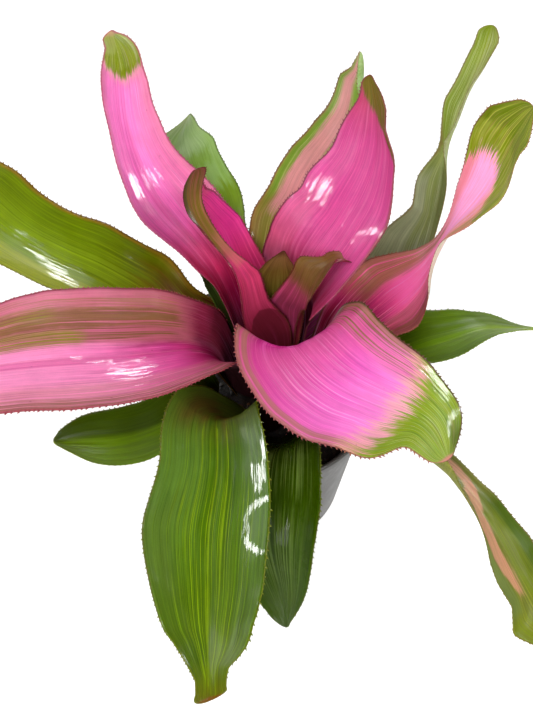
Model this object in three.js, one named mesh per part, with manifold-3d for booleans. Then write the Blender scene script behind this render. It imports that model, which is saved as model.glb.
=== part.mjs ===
// Bromeliad in a tapered plastic pot. Millimetres, +Z up.
// Origin: centre of the pot's base, on the floor. The front of the plant looks along -Y.
import * as THREE from 'three';
import { mergeVertices } from 'three/addons/utils/BufferGeometryUtils.js';
import Module from 'manifold-3d';

// ---- driving dimensions ----
const POT_HEIGHT = 131;          // floor to rim
const RIM_OUTER_R = 75;          // 150 mm pot
const RIM_INNER_R = 72.4;
const RIM_BAND = 9;              // height of the rim's thick band
const BODY_TOP_R = 68.6;         // wall outside, just under the band
const BODY_BASE_R = 55;          // wall outside, at the base
const WALL = 2.2;
const BASE_BEVEL = 4;
const FLOOR_THICK = 2.4;
const FOOT_RECESS = 1.6;         // depth of the ring channel under the floor that the drain holes open into
const FOOT_RING = 6;             // width of the outer ring that the pot stands on
const FOOT_PAD_R = 22;           // round pad at the middle, which also stands on the ground
const DRAIN_R = 5;
const DRAIN_RING_R = 33.5;
const DRAIN_COUNT = 6;
const SOIL_TOP = 117;
const GAP = 0.35;                // clearance between pieces that touch
const STEM_X = 12;               // the rosette stands a little off the pot's axis
const STEM_Y = 0;
const STEM_DEPTH = 30;           // how far the stem goes into the soil
const LEAF_THICK = 1.7;
const SEGMENTS = 6;              // across a leaf
const ROUND = 56;

const wasm = await Module();
wasm.setup();

// ---- solids ----
function toSolid(geometry) {
  const g = geometry.clone();
  g.deleteAttribute('normal');
  g.deleteAttribute('uv');
  const m = mergeVertices(g, 1e-4);
  const solid = new wasm.Manifold(new wasm.Mesh({
    numProp: 3,
    vertProperties: new Float32Array(m.attributes.position.array),
    triVerts: new Uint32Array(m.index.array),
  }));
  return solid;
}

function toGeometry(solid) {
  const mesh = solid.getMesh();
  const g = new THREE.BufferGeometry();
  const n = mesh.numProp;
  const count = mesh.vertProperties.length / n;
  const pos = new Float32Array(count * 3);
  for (let i = 0; i < count; i++) for (let k = 0; k < 3; k++) pos[i * 3 + k] = mesh.vertProperties[i * n + k];
  g.setAttribute('position', new THREE.BufferAttribute(pos, 3));
  g.setIndex(new THREE.BufferAttribute(new Uint32Array(mesh.triVerts), 1));
  g.computeVertexNormals();
  return g;
}

// A profile of [radius, height] turned about +Z.
function turned(points, round = ROUND) {
  const g = new THREE.LatheGeometry(points.map(([r, z]) => new THREE.Vector2(r, z)), round);
  g.rotateX(Math.PI / 2);
  return g;
}

// ---- leaves ----
// Each row of ctrl is one control point of a uniform cubic B-spline along the leaf, base to tip:
// middle of the chord x, y, z, half of the chord from the middle to the right-hand margin dx, dy, dz,
// and how deep the channel of the upper side is. right and left, where given, are [t, v] along the leaf
// and say how far across, of the half chord, the blade goes; it is whole where they aren't given.
const LEAVES = [
  { // innermost leaf, left of the cup, pinched below its tip
    name: 'leaf_inner_left', tip: 0.86, stations: 17, colour: 0xa84a78, left: [[0, -1], [0.06, -1], [0.11, -0.83], [0.16, -0.66], [0.22, -0.51], [0.27, -0.4], [0.32, -0.33], [0.38, -0.3], [0.48, -0.33], [0.54, -0.28], [0.59, -0.22], [0.65, -0.22], [0.7, -0.35], [0.76, -0.8], [0.8, -1], [1, -1]], ctrl: [
    [11.3, 2.8, 140.7, 8.9, 11.6, 1.0, 9.6],
    [8.6, 3.8, 159.1, 9.5, 17.2, 0.2, 12.3],
    [2.4, 6.1, 176.3, 4.1, 18.8, -3.3, 12.1],
    [-1.8, 11.6, 193.8, 3.4, 17.8, -4.9, 9.1],
    [-7.7, 18.4, 210.1, 1.7, 13.0, -5.6, 5.1],
    [-17.5, 24.5, 224.5, -3.5, 8.7, -6.4, 4.7],
    [-29.9, 28.7, 238.6, -1.4, 10.9, -3.1, 4.7],
    [-36.7, 32.0, 255.3, 3.8, 11.9, -1.1, 3.2],
    [-34.2, 34.0, 274.7, 9.5, 10.8, -0.7, 1.8],
  ] },
  { // innermost leaf, right of the cup
    name: 'leaf_inner_right', tip: 0.8, stations: 15, colour: 0xa8405c, right: [[0, -0.3], [0.15, -0.33], [0.22, -0.25], [0.36, -0.15], [0.44, 0], [0.52, 0.05], [0.58, 0.25], [0.65, 0.55], [0.72, 1], [1, 1]], ctrl: [
    [15.7, 5.3, 137.1, 8.6, -8.2, 1.6, 9.8],
    [16.9, 10.0, 150.4, 11.3, -13.4, 1.9, 12.4],
    [15.6, 11.2, 164.4, 11.5, -17.9, 0.5, 12.2],
    [14.9, 9.7, 178.7, 6.1, -19.9, -0.6, 10.5],
    [16.7, 8.6, 193.4, 0.9, -20.0, 0.9, 8.8],
    [21.6, 10.2, 207.5, 2.7, -18.3, 3.7, 7.0],
    [28.4, 15.4, 218.1, 6.0, -13.4, 6.8, 5.6],
    [37.7, 21.9, 221.3, 5.1, -6.9, 8.6, 4.0],
    [50.0, 25.8, 214.8, 4.0, -7.8, 1.6, 2.2],
  ] },
  { // short innermost leaf, at the back of the cup
    name: 'leaf_inner_back', tip: 0.72, stations: 15, colour: 0x5c5a1c, right: [[0, 0.7], [0.5, 0.7], [0.56, 0.8], [0.63, 1], [1, 1]], ctrl: [
    [12.9, 8.9, 136.4, 14.0, 2.6, -1.4, 10.6],
    [12.9, 13.7, 145.9, 16.6, 1.9, -0.8, 11.5],
    [12.7, 18.2, 155.3, 18.6, 0.9, -0.0, 11.6],
    [12.5, 21.5, 164.7, 19.8, 0.1, 0.7, 11.1],
    [12.1, 23.5, 173.8, 20.1, -0.8, 1.4, 10.1],
    [11.4, 25.1, 182.2, 19.3, -1.8, 2.0, 9.9],
    [10.7, 27.6, 189.8, 16.9, -2.9, 2.1, 8.9],
    [10.7, 31.5, 197.4, 12.4, -3.1, 1.0, 7.6],
    [13.3, 37.3, 206.1, 7.3, -1.6, -0.6, 6.0],
  ] },
  { // young magenta leaf, back left
    name: 'leaf_inner_magenta', tip: 0.75, stations: 15, colour: 0xc8348c, left: [[0, 0.2], [0.25, 0.35], [0.32, 0.35], [0.39, 0.3], [0.46, 0.2], [0.54, 0], [0.61, -0.35], [0.68, -0.7], [0.75, -0.9], [0.8, -1], [1, -1]], ctrl: [
    [7.7, 10.1, 135.1, 11.4, 11.1, -1.7, 11.2],
    [3.7, 16.5, 152.8, 12.4, 14.7, -4.3, 13.1],
    [-1.3, 26.2, 168.8, 11.9, 17.4, -7.9, 13.8],
    [-6.6, 37.4, 183.4, 9.1, 19.1, -10.8, 13.4],
    [-11.7, 48.3, 197.2, 5.8, 20.4, -10.3, 11.7],
    [-19.4, 56.0, 209.8, 1.6, 19.8, -6.5, 10.2],
    [-29.2, 58.0, 222.2, -2.9, 17.0, -2.2, 8.0],
    [-33.4, 55.8, 237.1, -2.0, 14.0, 2.8, 6.3],
    [-32.3, 47.1, 251.7, 4.0, 11.0, 6.0, 4.5],
  ] },
  { // broad pink leaf at the back
    name: 'leaf_back_pink', tip: 0.78, stations: 15, colour: 0xe572b4, right: [[0, -0.2], [0.08, -0.2], [0.12, -0.05], [0.16, 0.15], [0.2, 0.22], [0.27, 0.22], [0.31, 0.5], [0.35, 1], [1, 1]], ctrl: [
    [21.4, 9.0, 132.8, 13.9, -8.6, 5.2, 12.3],
    [16.4, 16.0, 156.3, 12.4, -25.4, 10.9, 18.9],
    [9.2, 23.4, 177.5, 9.1, -36.6, 11.4, 20.7],
    [15.3, 29.3, 198.0, 12.7, -38.4, 5.3, 14.6],
    [32.2, 36.0, 218.0, 16.5, -32.9, 1.3, 11.4],
    [48.1, 44.8, 237.9, 19.7, -26.2, 1.3, 10.0],
    [56.9, 54.0, 258.3, 16.6, -20.1, 3.6, 8.1],
    [58.5, 64.2, 280.2, 9.5, -14.0, 4.7, 5.9],
    [57.3, 75.8, 302.5, 8.3, -6.4, 5.3, 3.5],
  ] },
  { // long pink leaf rising to the back left, with a green tip
    name: 'leaf_back_left_pink', tip: 0.85, stations: 15, colour: 0xe070b0, left: [[0, -0.8], [0.08, -0.68], [0.12, -0.62], [0.19, -0.62], [0.23, -0.68], [0.27, -0.79], [0.31, -0.93], [0.35, -1], [1, -1]], ctrl: [
    [2.6, 9.5, 129.7, 13.0, 10.3, -4.9, 12.1],
    [-1.1, 26.6, 157.1, 11.3, 19.2, -9.0, 16.0],
    [-11.3, 42.7, 182.0, 9.7, 24.5, -8.9, 15.0],
    [-31.0, 55.1, 203.5, 12.3, 25.4, -4.9, 13.9],
    [-53.6, 65.5, 221.9, 16.6, 22.4, -1.7, 10.8],
    [-68.7, 80.3, 240.9, 13.6, 13.7, -2.8, 8.4],
    [-76.8, 101.7, 258.9, 12.9, 7.0, -2.1, 6.8],
    [-81.0, 128.2, 269.3, 11.8, 4.9, 1.8, 5.7],
    [-90.4, 156.7, 268.9, 8.8, 3.3, 3.1, 4.8],
  ] },
  { // broad pink leaf arching over to the front right, with a green tip
    name: 'leaf_front_pink', tip: 0.75, stations: 15, colour: 0xe572b8, ctrl: [
    [23.4, -10.5, 133.5, -12.6, -11.4, 0.3, 11.4],
    [17.6, -2.4, 160.1, -22.0, -10.5, -0.0, 16.4],
    [15.1, 2.7, 186.6, -28.5, -7.4, 1.7, 18.5],
    [16.9, -5.1, 205.0, -33.1, -9.3, 2.3, 18.6],
    [23.6, -27.4, 205.5, -35.7, -22.5, -5.4, 16.0],
    [41.9, -48.1, 198.4, -25.2, -30.6, -9.1, 12.0],
    [70.0, -59.2, 193.3, -13.5, -30.2, -8.4, 8.0],
    [94.1, -64.7, 187.7, -15.8, -17.5, -2.2, 5.5],
    [102.4, -80.8, 170.0, -19.4, -12.3, 0.1, 3.0],
  ] },
  { // olive leaf behind it
    name: 'leaf_back_olive', tip: 0.82, stations: 15, colour: 0x8a8c4c, right: [[0, 0.1], [0.3, 0.1], [0.42, 0.4], [0.6, 1], [1, 1]], ctrl: [
    [17.7, 17.8, 128.9, 18.5, -5.6, 5.1, 12.0],
    [14.5, 31.2, 151.7, 22.4, -8.8, 6.9, 14.9],
    [13.9, 47.7, 172.2, 26.1, -13.1, 6.5, 15.2],
    [18.5, 63.0, 191.8, 26.2, -17.3, 3.8, 13.8],
    [28.4, 75.7, 211.1, 21.5, -20.2, 1.7, 12.0],
    [39.0, 85.7, 230.6, 17.0, -21.6, 1.3, 10.7],
    [47.8, 92.6, 250.2, 8.7, -19.4, 3.9, 8.8],
    [50.0, 99.2, 272.1, 5.5, -17.7, 3.5, 6.5],
    [54.2, 103.7, 294.7, -3.1, -13.8, 3.7, 4.2],
  ] },
  { // pink leaf to the right, pinched at mid length and turned up
    name: 'leaf_right_pink', tip: 0.84, stations: 18, colour: 0xe58ab8, ctrl: [
    [31.0, 8.3, 129.3, 0.3, -17.9, 1.9, 12.0],
    [44.4, 12.7, 157.5, 6.9, -23.4, 1.5, 15.9],
    [65.3, 20.4, 176.9, 12.3, -28.4, 1.9, 16.4],
    [86.4, 27.6, 189.2, 11.3, -28.1, 5.6, 11.0],
    [98.5, 37.0, 203.1, -4.9, -16.1, 12.5, 3.0],
    [108.3, 45.6, 222.7, -5.4, -17.3, 8.4, 2.0],
    [119.6, 50.5, 246.7, 3.6, -25.5, 0.6, 8.5],
    [125.7, 55.0, 274.1, 6.0, -23.9, -3.3, 8.8],
    [140.4, 53.3, 300.2, 3.1, -15.5, -4.0, 2.8],
  ] },
  { // broad pink leaf with olive stripes, to the left
    name: 'leaf_left_pink', tip: 0.72, stations: 15, colour: 0xd8789f, ctrl: [
    [-6.1, -0.5, 129.5, -6.2, 17.1, -2.4, 12.8],
    [-10.3, 3.9, 161.6, -9.9, 22.4, -2.4, 16.9],
    [-24.3, -2.3, 186.5, -15.0, 24.1, -2.2, 17.3],
    [-45.2, -17.5, 202.6, -18.1, 29.4, 1.2, 16.7],
    [-70.1, -33.5, 214.4, -16.3, 33.7, 4.3, 14.4],
    [-97.7, -44.7, 225.6, -12.0, 34.6, 5.8, 12.1],
    [-126.9, -54.2, 232.0, -8.1, 31.2, 4.6, 9.6],
    [-157.3, -62.3, 232.6, -5.1, 28.0, 3.7, 7.0],
    [-188.6, -65.8, 229.7, -2.7, 22.9, 2.2, 4.4],
  ] },
  { // green leaf to the back right, pinched at mid length and turned up
    name: 'leaf_right_back_green', tip: 0.85, stations: 18, colour: 0x6d8c50, right: [[0, 0.5], [0.1, 0.5], [0.15, 0.35], [0.2, 0.25], [0.28, 0.2], [0.34, 0.25], [0.4, 0.45], [0.45, 0.75], [0.48, 1], [1, 1]], ctrl: [
    [30.5, 14.6, 124.3, 15.0, -20.0, -2.3, 8.4],
    [47.8, 22.3, 147.6, 15.2, -27.0, 4.6, 18.1],
    [64.2, 41.5, 169.2, 5.3, -24.5, 20.5, 32.7],
    [87.7, 65.1, 180.6, 8.5, -17.5, 14.7, 17.9],
    [106.3, 91.9, 191.4, 10.3, -7.6, 4.2, 6.3],
    [111.1, 116.5, 210.3, 0.3, -4.9, 1.5, 4.0],
    [117.1, 135.4, 231.9, 3.1, -6.6, 2.4, 6.5],
    [131.7, 151.9, 249.7, 4.7, -6.1, 3.8, 5.2],
    [142.2, 173.8, 260.1, 10.0, -6.4, 2.1, 2.0],
  ] },
  { // low green leaf behind it
    name: 'leaf_back_left_green', tip: 0.75, stations: 15, colour: 0x5f8a3c, ctrl: [
    [2.8, 24.3, 124.4, 17.5, 8.1, 0.1, 10.4],
    [-4.7, 36.1, 147.5, 17.0, 14.2, -2.1, 13.4],
    [-15.4, 48.7, 168.6, 15.5, 17.8, -4.6, 12.6],
    [-26.5, 62.8, 187.5, 17.2, 17.6, -6.1, 12.1],
    [-36.6, 80.7, 201.3, 23.9, 15.5, -4.9, 10.3],
    [-48.3, 102.0, 206.2, 25.5, 11.1, -2.5, 8.9],
    [-56.7, 125.6, 202.7, 25.5, 6.7, 2.9, 7.1],
    [-59.4, 149.7, 193.9, 18.7, 1.4, 8.3, 5.8],
    [-50.1, 175.4, 186.1, 11.4, -0.1, 15.1, 4.4],
  ] },
  { // broad green leaf to the left
    name: 'leaf_left_green', tip: 0.72, stations: 15, colour: 0x6f8a1c, ctrl: [
    [-10.8, 13.2, 124.1, 4.0, 23.8, -0.6, 10.9],
    [-24.9, 15.8, 151.5, 1.5, 27.0, -3.8, 15.4],
    [-46.1, 19.0, 173.6, 0.9, 27.1, -6.6, 15.7],
    [-70.3, 26.2, 192.0, 6.5, 31.6, -4.9, 14.5],
    [-100.5, 33.2, 204.0, 7.4, 31.8, -5.6, 11.7],
    [-131.5, 41.9, 213.3, 9.5, 29.9, -6.7, 11.0],
    [-158.5, 56.2, 225.2, 14.3, 28.2, -5.4, 9.8],
    [-182.7, 73.8, 239.1, 16.8, 24.9, -3.4, 8.2],
    [-205.2, 93.1, 253.9, 17.1, 20.9, -1.1, 6.5],
  ] },
  { // low pointed green leaf to the right
    name: 'leaf_right_low_green', tip: 0.6, stations: 15, colour: 0x4e7c20, ctrl: [
    [37.2, 3.6, 122.9, 0.2, -19.9, -0.4, 11.9],
    [46.2, 2.8, 141.8, -6.3, -21.1, 2.7, 16.3],
    [60.0, -0.4, 158.5, -9.4, -22.7, 5.1, 11.3],
    [77.1, -3.8, 170.7, -6.3, -24.4, 6.8, 10.1],
    [95.2, -3.4, 176.9, 1.6, -25.9, 8.4, 8.6],
    [113.8, 1.4, 178.8, 5.8, -22.3, 10.1, 6.8],
    [132.3, 8.3, 177.5, 5.5, -16.5, 10.3, 4.4],
    [151.6, 11.6, 169.9, 6.1, -12.1, 9.3, 3.4],
    [171.3, 15.9, 159.9, 6.4, -7.0, 9.1, 2.4],
  ] },
  { // leaf drooping to the front right, narrow at mid length
    name: 'leaf_front_right_drooping', tip: 0.82, stations: 17, colour: 0x9aa040, ctrl: [
    [37.2, -11.7, 125.4, -15.4, -10.7, 4.3, 10.4],
    [52.8, -21.2, 149.1, -15.5, -10.8, 11.7, 14.9],
    [74.6, -38.0, 158.4, -11.3, -10.2, 18.2, 12.7],
    [97.3, -59.1, 156.9, -5.7, -8.8, 18.7, 8.9],
    [117.4, -81.9, 149.8, -6.3, -9.0, 12.2, 5.2],
    [133.0, -106.2, 138.7, -10.9, -9.5, 5.4, 4.1],
    [146.7, -130.9, 124.6, -14.9, -10.1, 2.0, 7.3],
    [156.5, -146.5, 114.5, -17.0, -10.7, -0.5, 8.5],
    [165.5, -160.5, 104.5, -16.0, -9.0, -2.0, 6.0],
  ] },
  { // broad green leaf arching to the front
    name: 'leaf_front_green', tip: 0.84, stations: 15, colour: 0x5f9a2a, blunt: 30, ctrl: [
    [3.5, -22.7, 123.9, -14.3, 6.4, -4.1, 13.2],
    [-12.7, -24.6, 151.7, -18.9, 9.4, -6.0, 16.4],
    [-26.6, -36.2, 171.4, -23.7, 7.5, -5.4, 15.5],
    [-28.0, -60.2, 178.2, -27.7, 2.1, -7.2, 13.8],
    [-25.2, -89.3, 175.2, -30.3, 1.5, -8.6, 10.8],
    [-29.8, -118.5, 168.0, -35.0, 3.7, -6.8, 8.8],
    [-28.9, -147.0, 156.3, -31.1, 5.4, -7.7, 6.5],
    [-29.2, -173.8, 140.3, -20.5, 4.2, -8.2, 4.5],
    [-26.0, -194.7, 117.2, -8.6, -3.7, 0.0, 1.2],
  ] },
  { // dark green leaf under it
    name: 'leaf_front_low_green', tip: 0.78, stations: 15, colour: 0x2f5a1c, ctrl: [
    [10.8, -31.7, 122.7, -18.0, -3.6, -1.8, 12.3],
    [8.7, -38.9, 145.2, -22.7, -2.7, -4.1, 14.7],
    [6.1, -53.9, 161.3, -26.3, 0.1, -4.7, 13.6],
    [3.7, -74.1, 167.4, -29.1, 2.8, -4.2, 12.2],
    [1.9, -94.1, 161.3, -31.1, 5.1, -3.8, 9.4],
    [0.6, -108.6, 145.2, -29.8, 6.7, -4.7, 7.9],
    [1.7, -118.5, 124.7, -26.1, 7.9, -7.6, 6.1],
    [6.2, -128.8, 104.3, -19.9, 8.3, -11.6, 5.6],
    [14.0, -144.9, 87.5, -10.8, 7.5, -15.1, 4.8],
  ] },
  { // short green leaf under the left ones
    name: 'leaf_left_low_green', tip: 0.72, stations: 15, colour: 0x4c8420, ctrl: [
    [-20.3, -14.6, 121.3, -6.3, 15.4, 0.8, 11.7],
    [-22.4, -17.0, 135.4, -9.1, 19.7, 3.0, 14.1],
    [-32.2, -23.8, 143.4, -12.2, 21.8, 1.7, 13.0],
    [-45.2, -32.4, 145.5, -13.5, 22.1, -3.7, 11.5],
    [-58.4, -41.3, 144.3, -11.5, 21.7, -8.9, 8.3],
    [-72.5, -48.1, 143.6, -9.5, 23.4, -9.3, 7.5],
    [-87.5, -52.6, 145.3, -8.6, 23.6, -7.8, 6.7],
    [-102.7, -56.6, 149.6, -8.5, 20.9, -6.5, 5.3],
    [-117.2, -61.6, 156.5, -8.7, 15.7, -6.7, 4.0],
  ] },
];

function spline(ctrl, t) {
  const n = ctrl.length;
  const x = t * (n - 1);
  const i = Math.min(Math.floor(x), n - 2);
  const f = x - i;
  const w = [(1 - f) ** 3 / 6, (3 * f ** 3 - 6 * f * f + 4) / 6, (-3 * f ** 3 + 3 * f * f + 3 * f + 1) / 6, f ** 3 / 6];
  const out = new Array(7).fill(0);
  for (let k = 0; k < 4; k++) {
    const a = i - 1 + k;
    for (let c = 0; c < 7; c++) {
      let v;
      if (a < 0) v = 2 * ctrl[0][c] - ctrl[1][c];
      else if (a > n - 1) v = 2 * ctrl[n - 1][c] - ctrl[n - 2][c];
      else v = ctrl[a][c];
      out[c] += w[k] * v;
    }
  }
  return out;
}

// The leaf narrows to its tip as a quarter ellipse from t = tip on.
function tipFactor(t, tip, blunt = 2) {
  const x = Math.min(1, Math.max(0, (t - tip) / (1 - tip)));
  return Math.sqrt(1 - x ** blunt);
}

function along(table, t, otherwise) {
  if (!table) return otherwise;
  let i = 0;
  while (i < table.length - 2 && t > table[i + 1][0]) i++;
  const [[a, va], [b, vb]] = [table[i], table[i + 1]];
  return va + (vb - va) * Math.min(1, Math.max(0, (t - a) / (b - a)));
}

const ACROSS = Array.from({ length: SEGMENTS + 1 }, (_, j) => {
  const v = -1 + (2 * j) / SEGMENTS;
  return Math.sign(v) * Math.abs(v) ** 0.92;
});

function leafRow(leaf, t, grow, shift) {
  const c = spline(leaf.ctrl, t);
  const e = 1e-3;
  const a = spline(leaf.ctrl, Math.max(0, t - e));
  const b = spline(leaf.ctrl, Math.min(1, t + e));
  const tangent = new THREE.Vector3(b[0] - a[0], b[1] - a[1], b[2] - a[2]).normalize();
  const middle = new THREE.Vector3(c[0], c[1], c[2]);
  const half = new THREE.Vector3(c[3], c[4], c[5]);
  const up = half.clone().cross(tangent).normalize();
  const k = tipFactor(t, leaf.tip, leaf.blunt);
  const sag = c[6] * k;
  half.multiplyScalar(k);
  half.setLength(half.length() + grow);
  middle.addScaledVector(tangent, shift);
  const right = along(leaf.right, t, 1);
  const left = along(leaf.left, t, -1);
  return ACROSS.map((u) => left + ((right - left) * (u + 1)) / 2).map((v) => middle.clone().addScaledVector(half, v).addScaledVector(up, -sag * (1 - v * v)));
}

function leafGeometry(leaf, extra = 0) {
  const n = leaf.stations;
  const rows = [];
  for (let i = 0; i < n; i++) {
    let t = i / (n - 1);
    if (i === n - 1) t = 0.992;
    rows.push(leafRow(leaf, t, extra, i === 0 ? -extra : i === n - 1 ? extra : 0));
  }
  const m = ACROSS.length;
  const top = [];
  const under = [];
  for (let i = 0; i < n; i++) {
    for (let j = 0; j < m; j++) {
      const along = rows[Math.min(n - 1, i + 1)][j].clone().sub(rows[Math.max(0, i - 1)][j]);
      const across = rows[i][Math.min(m - 1, j + 1)].clone().sub(rows[i][Math.max(0, j - 1)]);
      const normal = across.cross(along).normalize();
      const thick = (LEAF_THICK * (1 - 0.55 * Math.abs(ACROSS[j]) ** 3)) / 2 + extra;
      top.push(rows[i][j].clone().addScaledVector(normal, thick));
      under.push(rows[i][j].clone().addScaledVector(normal, -thick));
    }
  }
  const pos = [];
  for (const p of top) pos.push(p.x, p.y, p.z);
  for (const p of under) pos.push(p.x, p.y, p.z);
  const id = (side, i, j) => side * n * m + i * m + j;
  const tri = [];
  for (let i = 0; i < n - 1; i++) {
    for (let j = 0; j < m - 1; j++) {
      tri.push(id(0, i, j), id(0, i, j + 1), id(0, i + 1, j + 1), id(0, i, j), id(0, i + 1, j + 1), id(0, i + 1, j));
      tri.push(id(1, i, j), id(1, i + 1, j + 1), id(1, i, j + 1), id(1, i, j), id(1, i + 1, j), id(1, i + 1, j + 1));
    }
    tri.push(id(0, i, 0), id(0, i + 1, 0), id(1, i + 1, 0), id(0, i, 0), id(1, i + 1, 0), id(1, i, 0));
    const r = m - 1;
    tri.push(id(0, i, r), id(1, i + 1, r), id(0, i + 1, r), id(0, i, r), id(1, i, r), id(1, i + 1, r));
  }
  for (let j = 0; j < m - 1; j++) {
    tri.push(id(0, 0, j), id(1, 0, j + 1), id(0, 0, j + 1), id(0, 0, j), id(1, 0, j), id(1, 0, j + 1));
    const q = n - 1;
    tri.push(id(0, q, j), id(0, q, j + 1), id(1, q, j + 1), id(0, q, j), id(1, q, j + 1), id(1, q, j));
  }
  const g = new THREE.BufferGeometry();
  g.setAttribute('position', new THREE.BufferAttribute(new Float32Array(pos), 3));
  g.setIndex(tri);
  return g;
}

function largest(solid) {
  const parts = solid.decompose();
  parts.sort((a, b) => b.volume() - a.volume());
  return parts[0];
}

// ---- pot ----
const bodyR = (z) => BODY_BASE_R + ((BODY_TOP_R - BODY_BASE_R) * z) / (POT_HEIGHT - RIM_BAND);
const potProfile = [
  [0, 0],
  [FOOT_PAD_R, 0],
  [FOOT_PAD_R + 1.5, FOOT_RECESS],
  [BODY_BASE_R - BASE_BEVEL - FOOT_RING - 1.5, FOOT_RECESS],
  [BODY_BASE_R - BASE_BEVEL - FOOT_RING, 0],
  [BODY_BASE_R - BASE_BEVEL, 0],
  [bodyR(BASE_BEVEL), BASE_BEVEL],
  [BODY_TOP_R, POT_HEIGHT - RIM_BAND],
  [RIM_OUTER_R - 1.6, POT_HEIGHT - RIM_BAND],
  [RIM_OUTER_R - 0.8, POT_HEIGHT - RIM_BAND + 0.8],
  [RIM_OUTER_R, POT_HEIGHT - 1.2],
  [RIM_OUTER_R - 0.8, POT_HEIGHT],
  [RIM_INNER_R, POT_HEIGHT],
  [RIM_INNER_R - 0.7, POT_HEIGHT - 2],
  [BODY_TOP_R - WALL + 1.2, POT_HEIGHT - RIM_BAND - 3],
  [bodyR(BASE_BEVEL) - WALL, FOOT_RECESS + FLOOR_THICK + 2.5],
  [bodyR(BASE_BEVEL) - WALL - 3, FOOT_RECESS + FLOOR_THICK],
  [0, FOOT_RECESS + FLOOR_THICK],
];
let pot = toSolid(turned(potProfile));
for (let k = 0; k < DRAIN_COUNT; k++) {
  const a = ((k + 0.5) / DRAIN_COUNT) * Math.PI * 2;
  const hole = new THREE.CylinderGeometry(DRAIN_R, DRAIN_R, 12, 16);
  hole.rotateX(Math.PI / 2);
  hole.translate(DRAIN_RING_R * Math.cos(a), DRAIN_RING_R * Math.sin(a), FOOT_RECESS + FLOOR_THICK / 2);
  pot = pot.subtract(toSolid(hole));
}

// ---- stem: a short woody stock, most of it in the soil ----
const stemProfile = [
  [0, SOIL_TOP - STEM_DEPTH],
  [7, SOIL_TOP - STEM_DEPTH + 2],
  [10, SOIL_TOP - STEM_DEPTH + 12],
  [12, SOIL_TOP - 8],
  [12.5, SOIL_TOP - 3],
  [11, SOIL_TOP + 2],
  [8, SOIL_TOP + 8],
  [4.5, SOIL_TOP + 13],
  [0, SOIL_TOP + 15],
];
const placeStem = (g) => g.translate(STEM_X, STEM_Y, 0);
const stem = toSolid(placeStem(turned(stemProfile, 28)));
const stemSocket = toSolid(placeStem(turned(stemProfile.map(([r, z], i) => [
  i === 0 || i === stemProfile.length - 1 ? 0 : r + GAP,
  z + (i === 0 ? -GAP : i === stemProfile.length - 1 ? GAP : 0),
]), 28)));

// ---- soil: fills the pot to a little under the rim, slightly mounded about the stem ----
const soilProfile = [
  [0, FOOT_RECESS + FLOOR_THICK + GAP],
  [bodyR(BASE_BEVEL) - WALL - 3 - GAP, FOOT_RECESS + FLOOR_THICK + GAP],
  [bodyR(BASE_BEVEL) - WALL - GAP, FOOT_RECESS + FLOOR_THICK + 2.5 + GAP],
  [BODY_TOP_R - WALL - 0.2 - GAP, SOIL_TOP - 3.5],
  [BODY_TOP_R - WALL - 4, SOIL_TOP - 1.5],
  [46, SOIL_TOP - 1.2],
  [26, SOIL_TOP],
  [0, SOIL_TOP + 0.4],
];
const soilBlock = toSolid(turned(soilProfile));
const soil = soilBlock.subtract(stemSocket);

// ---- put the plant together, innermost leaf first; a leaf keeps clear of the ones before it ----
const solids = LEAVES.map((leaf) => ({ leaf, solid: toSolid(leafGeometry(leaf)), grown: toSolid(leafGeometry(leaf, GAP)) }));
const soilClear = toSolid(turned(soilProfile.map(([r, z]) => [r, z + GAP])));
const potWall = pot;
solids.forEach((item, k) => {
  let s = item.solid;
  for (let q = 0; q < k; q++) {
    const cut = solids[q].grown;
    if (s.intersect(cut).volume() > 1e-3) s = s.subtract(cut);
  }
  if (s.intersect(stemSocket).volume() > 1e-3) s = s.subtract(stemSocket);
  if (s.intersect(soilClear).volume() > 1e-3) s = s.subtract(soilClear);
  item.solid = largest(s);
});

// ---- scene graph ----
const group = new THREE.Group();
function add(name, solid, colour, roughness, metalness = 0) {
  const mesh = new THREE.Mesh(toGeometry(solid), new THREE.MeshStandardMaterial({ color: colour, roughness, metalness }));
  mesh.name = name;
  group.add(mesh);
}
add('pot', pot, 0x3a3938, 0.5);
add('soil', soil, 0x15110d, 0.95);
add('stem', stem, 0x4a3a24, 0.8);
for (const { leaf, solid } of solids) add(leaf.name, solid, leaf.colour, 0.32);

export default group;
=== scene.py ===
"""Potted bromeliad: the fine surfaces and materials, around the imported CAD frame. Metres, +Z up."""
import math

import bmesh
import bpy
import numpy as np
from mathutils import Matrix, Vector


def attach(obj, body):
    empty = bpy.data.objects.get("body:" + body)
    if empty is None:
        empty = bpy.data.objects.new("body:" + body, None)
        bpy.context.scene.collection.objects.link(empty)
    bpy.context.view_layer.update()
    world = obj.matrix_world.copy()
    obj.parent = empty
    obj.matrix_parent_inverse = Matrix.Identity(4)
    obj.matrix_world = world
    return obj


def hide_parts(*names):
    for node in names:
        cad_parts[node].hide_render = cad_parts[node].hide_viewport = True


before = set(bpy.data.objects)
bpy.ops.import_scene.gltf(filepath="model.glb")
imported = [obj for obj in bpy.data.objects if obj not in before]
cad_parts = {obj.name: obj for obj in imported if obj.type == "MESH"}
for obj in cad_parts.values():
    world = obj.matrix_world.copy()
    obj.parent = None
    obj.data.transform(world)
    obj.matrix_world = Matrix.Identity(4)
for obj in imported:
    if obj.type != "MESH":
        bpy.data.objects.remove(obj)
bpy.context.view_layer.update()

MM = 0.001
RNG = np.random.default_rng(20)

# ------------------------------------------------------------------ colour


def lin(r, g, b):
    """An sRGB colour of 0 to 255 as linear RGBA."""
    out = []
    for c in (r, g, b):
        c = max(0.0, c) / 255.0
        out.append(c / 12.92 if c <= 0.04045 else ((c + 0.055) / 1.055) ** 2.4)
    return (*out, 1.0)


# ------------------------------------------------------------------ node helpers


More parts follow.
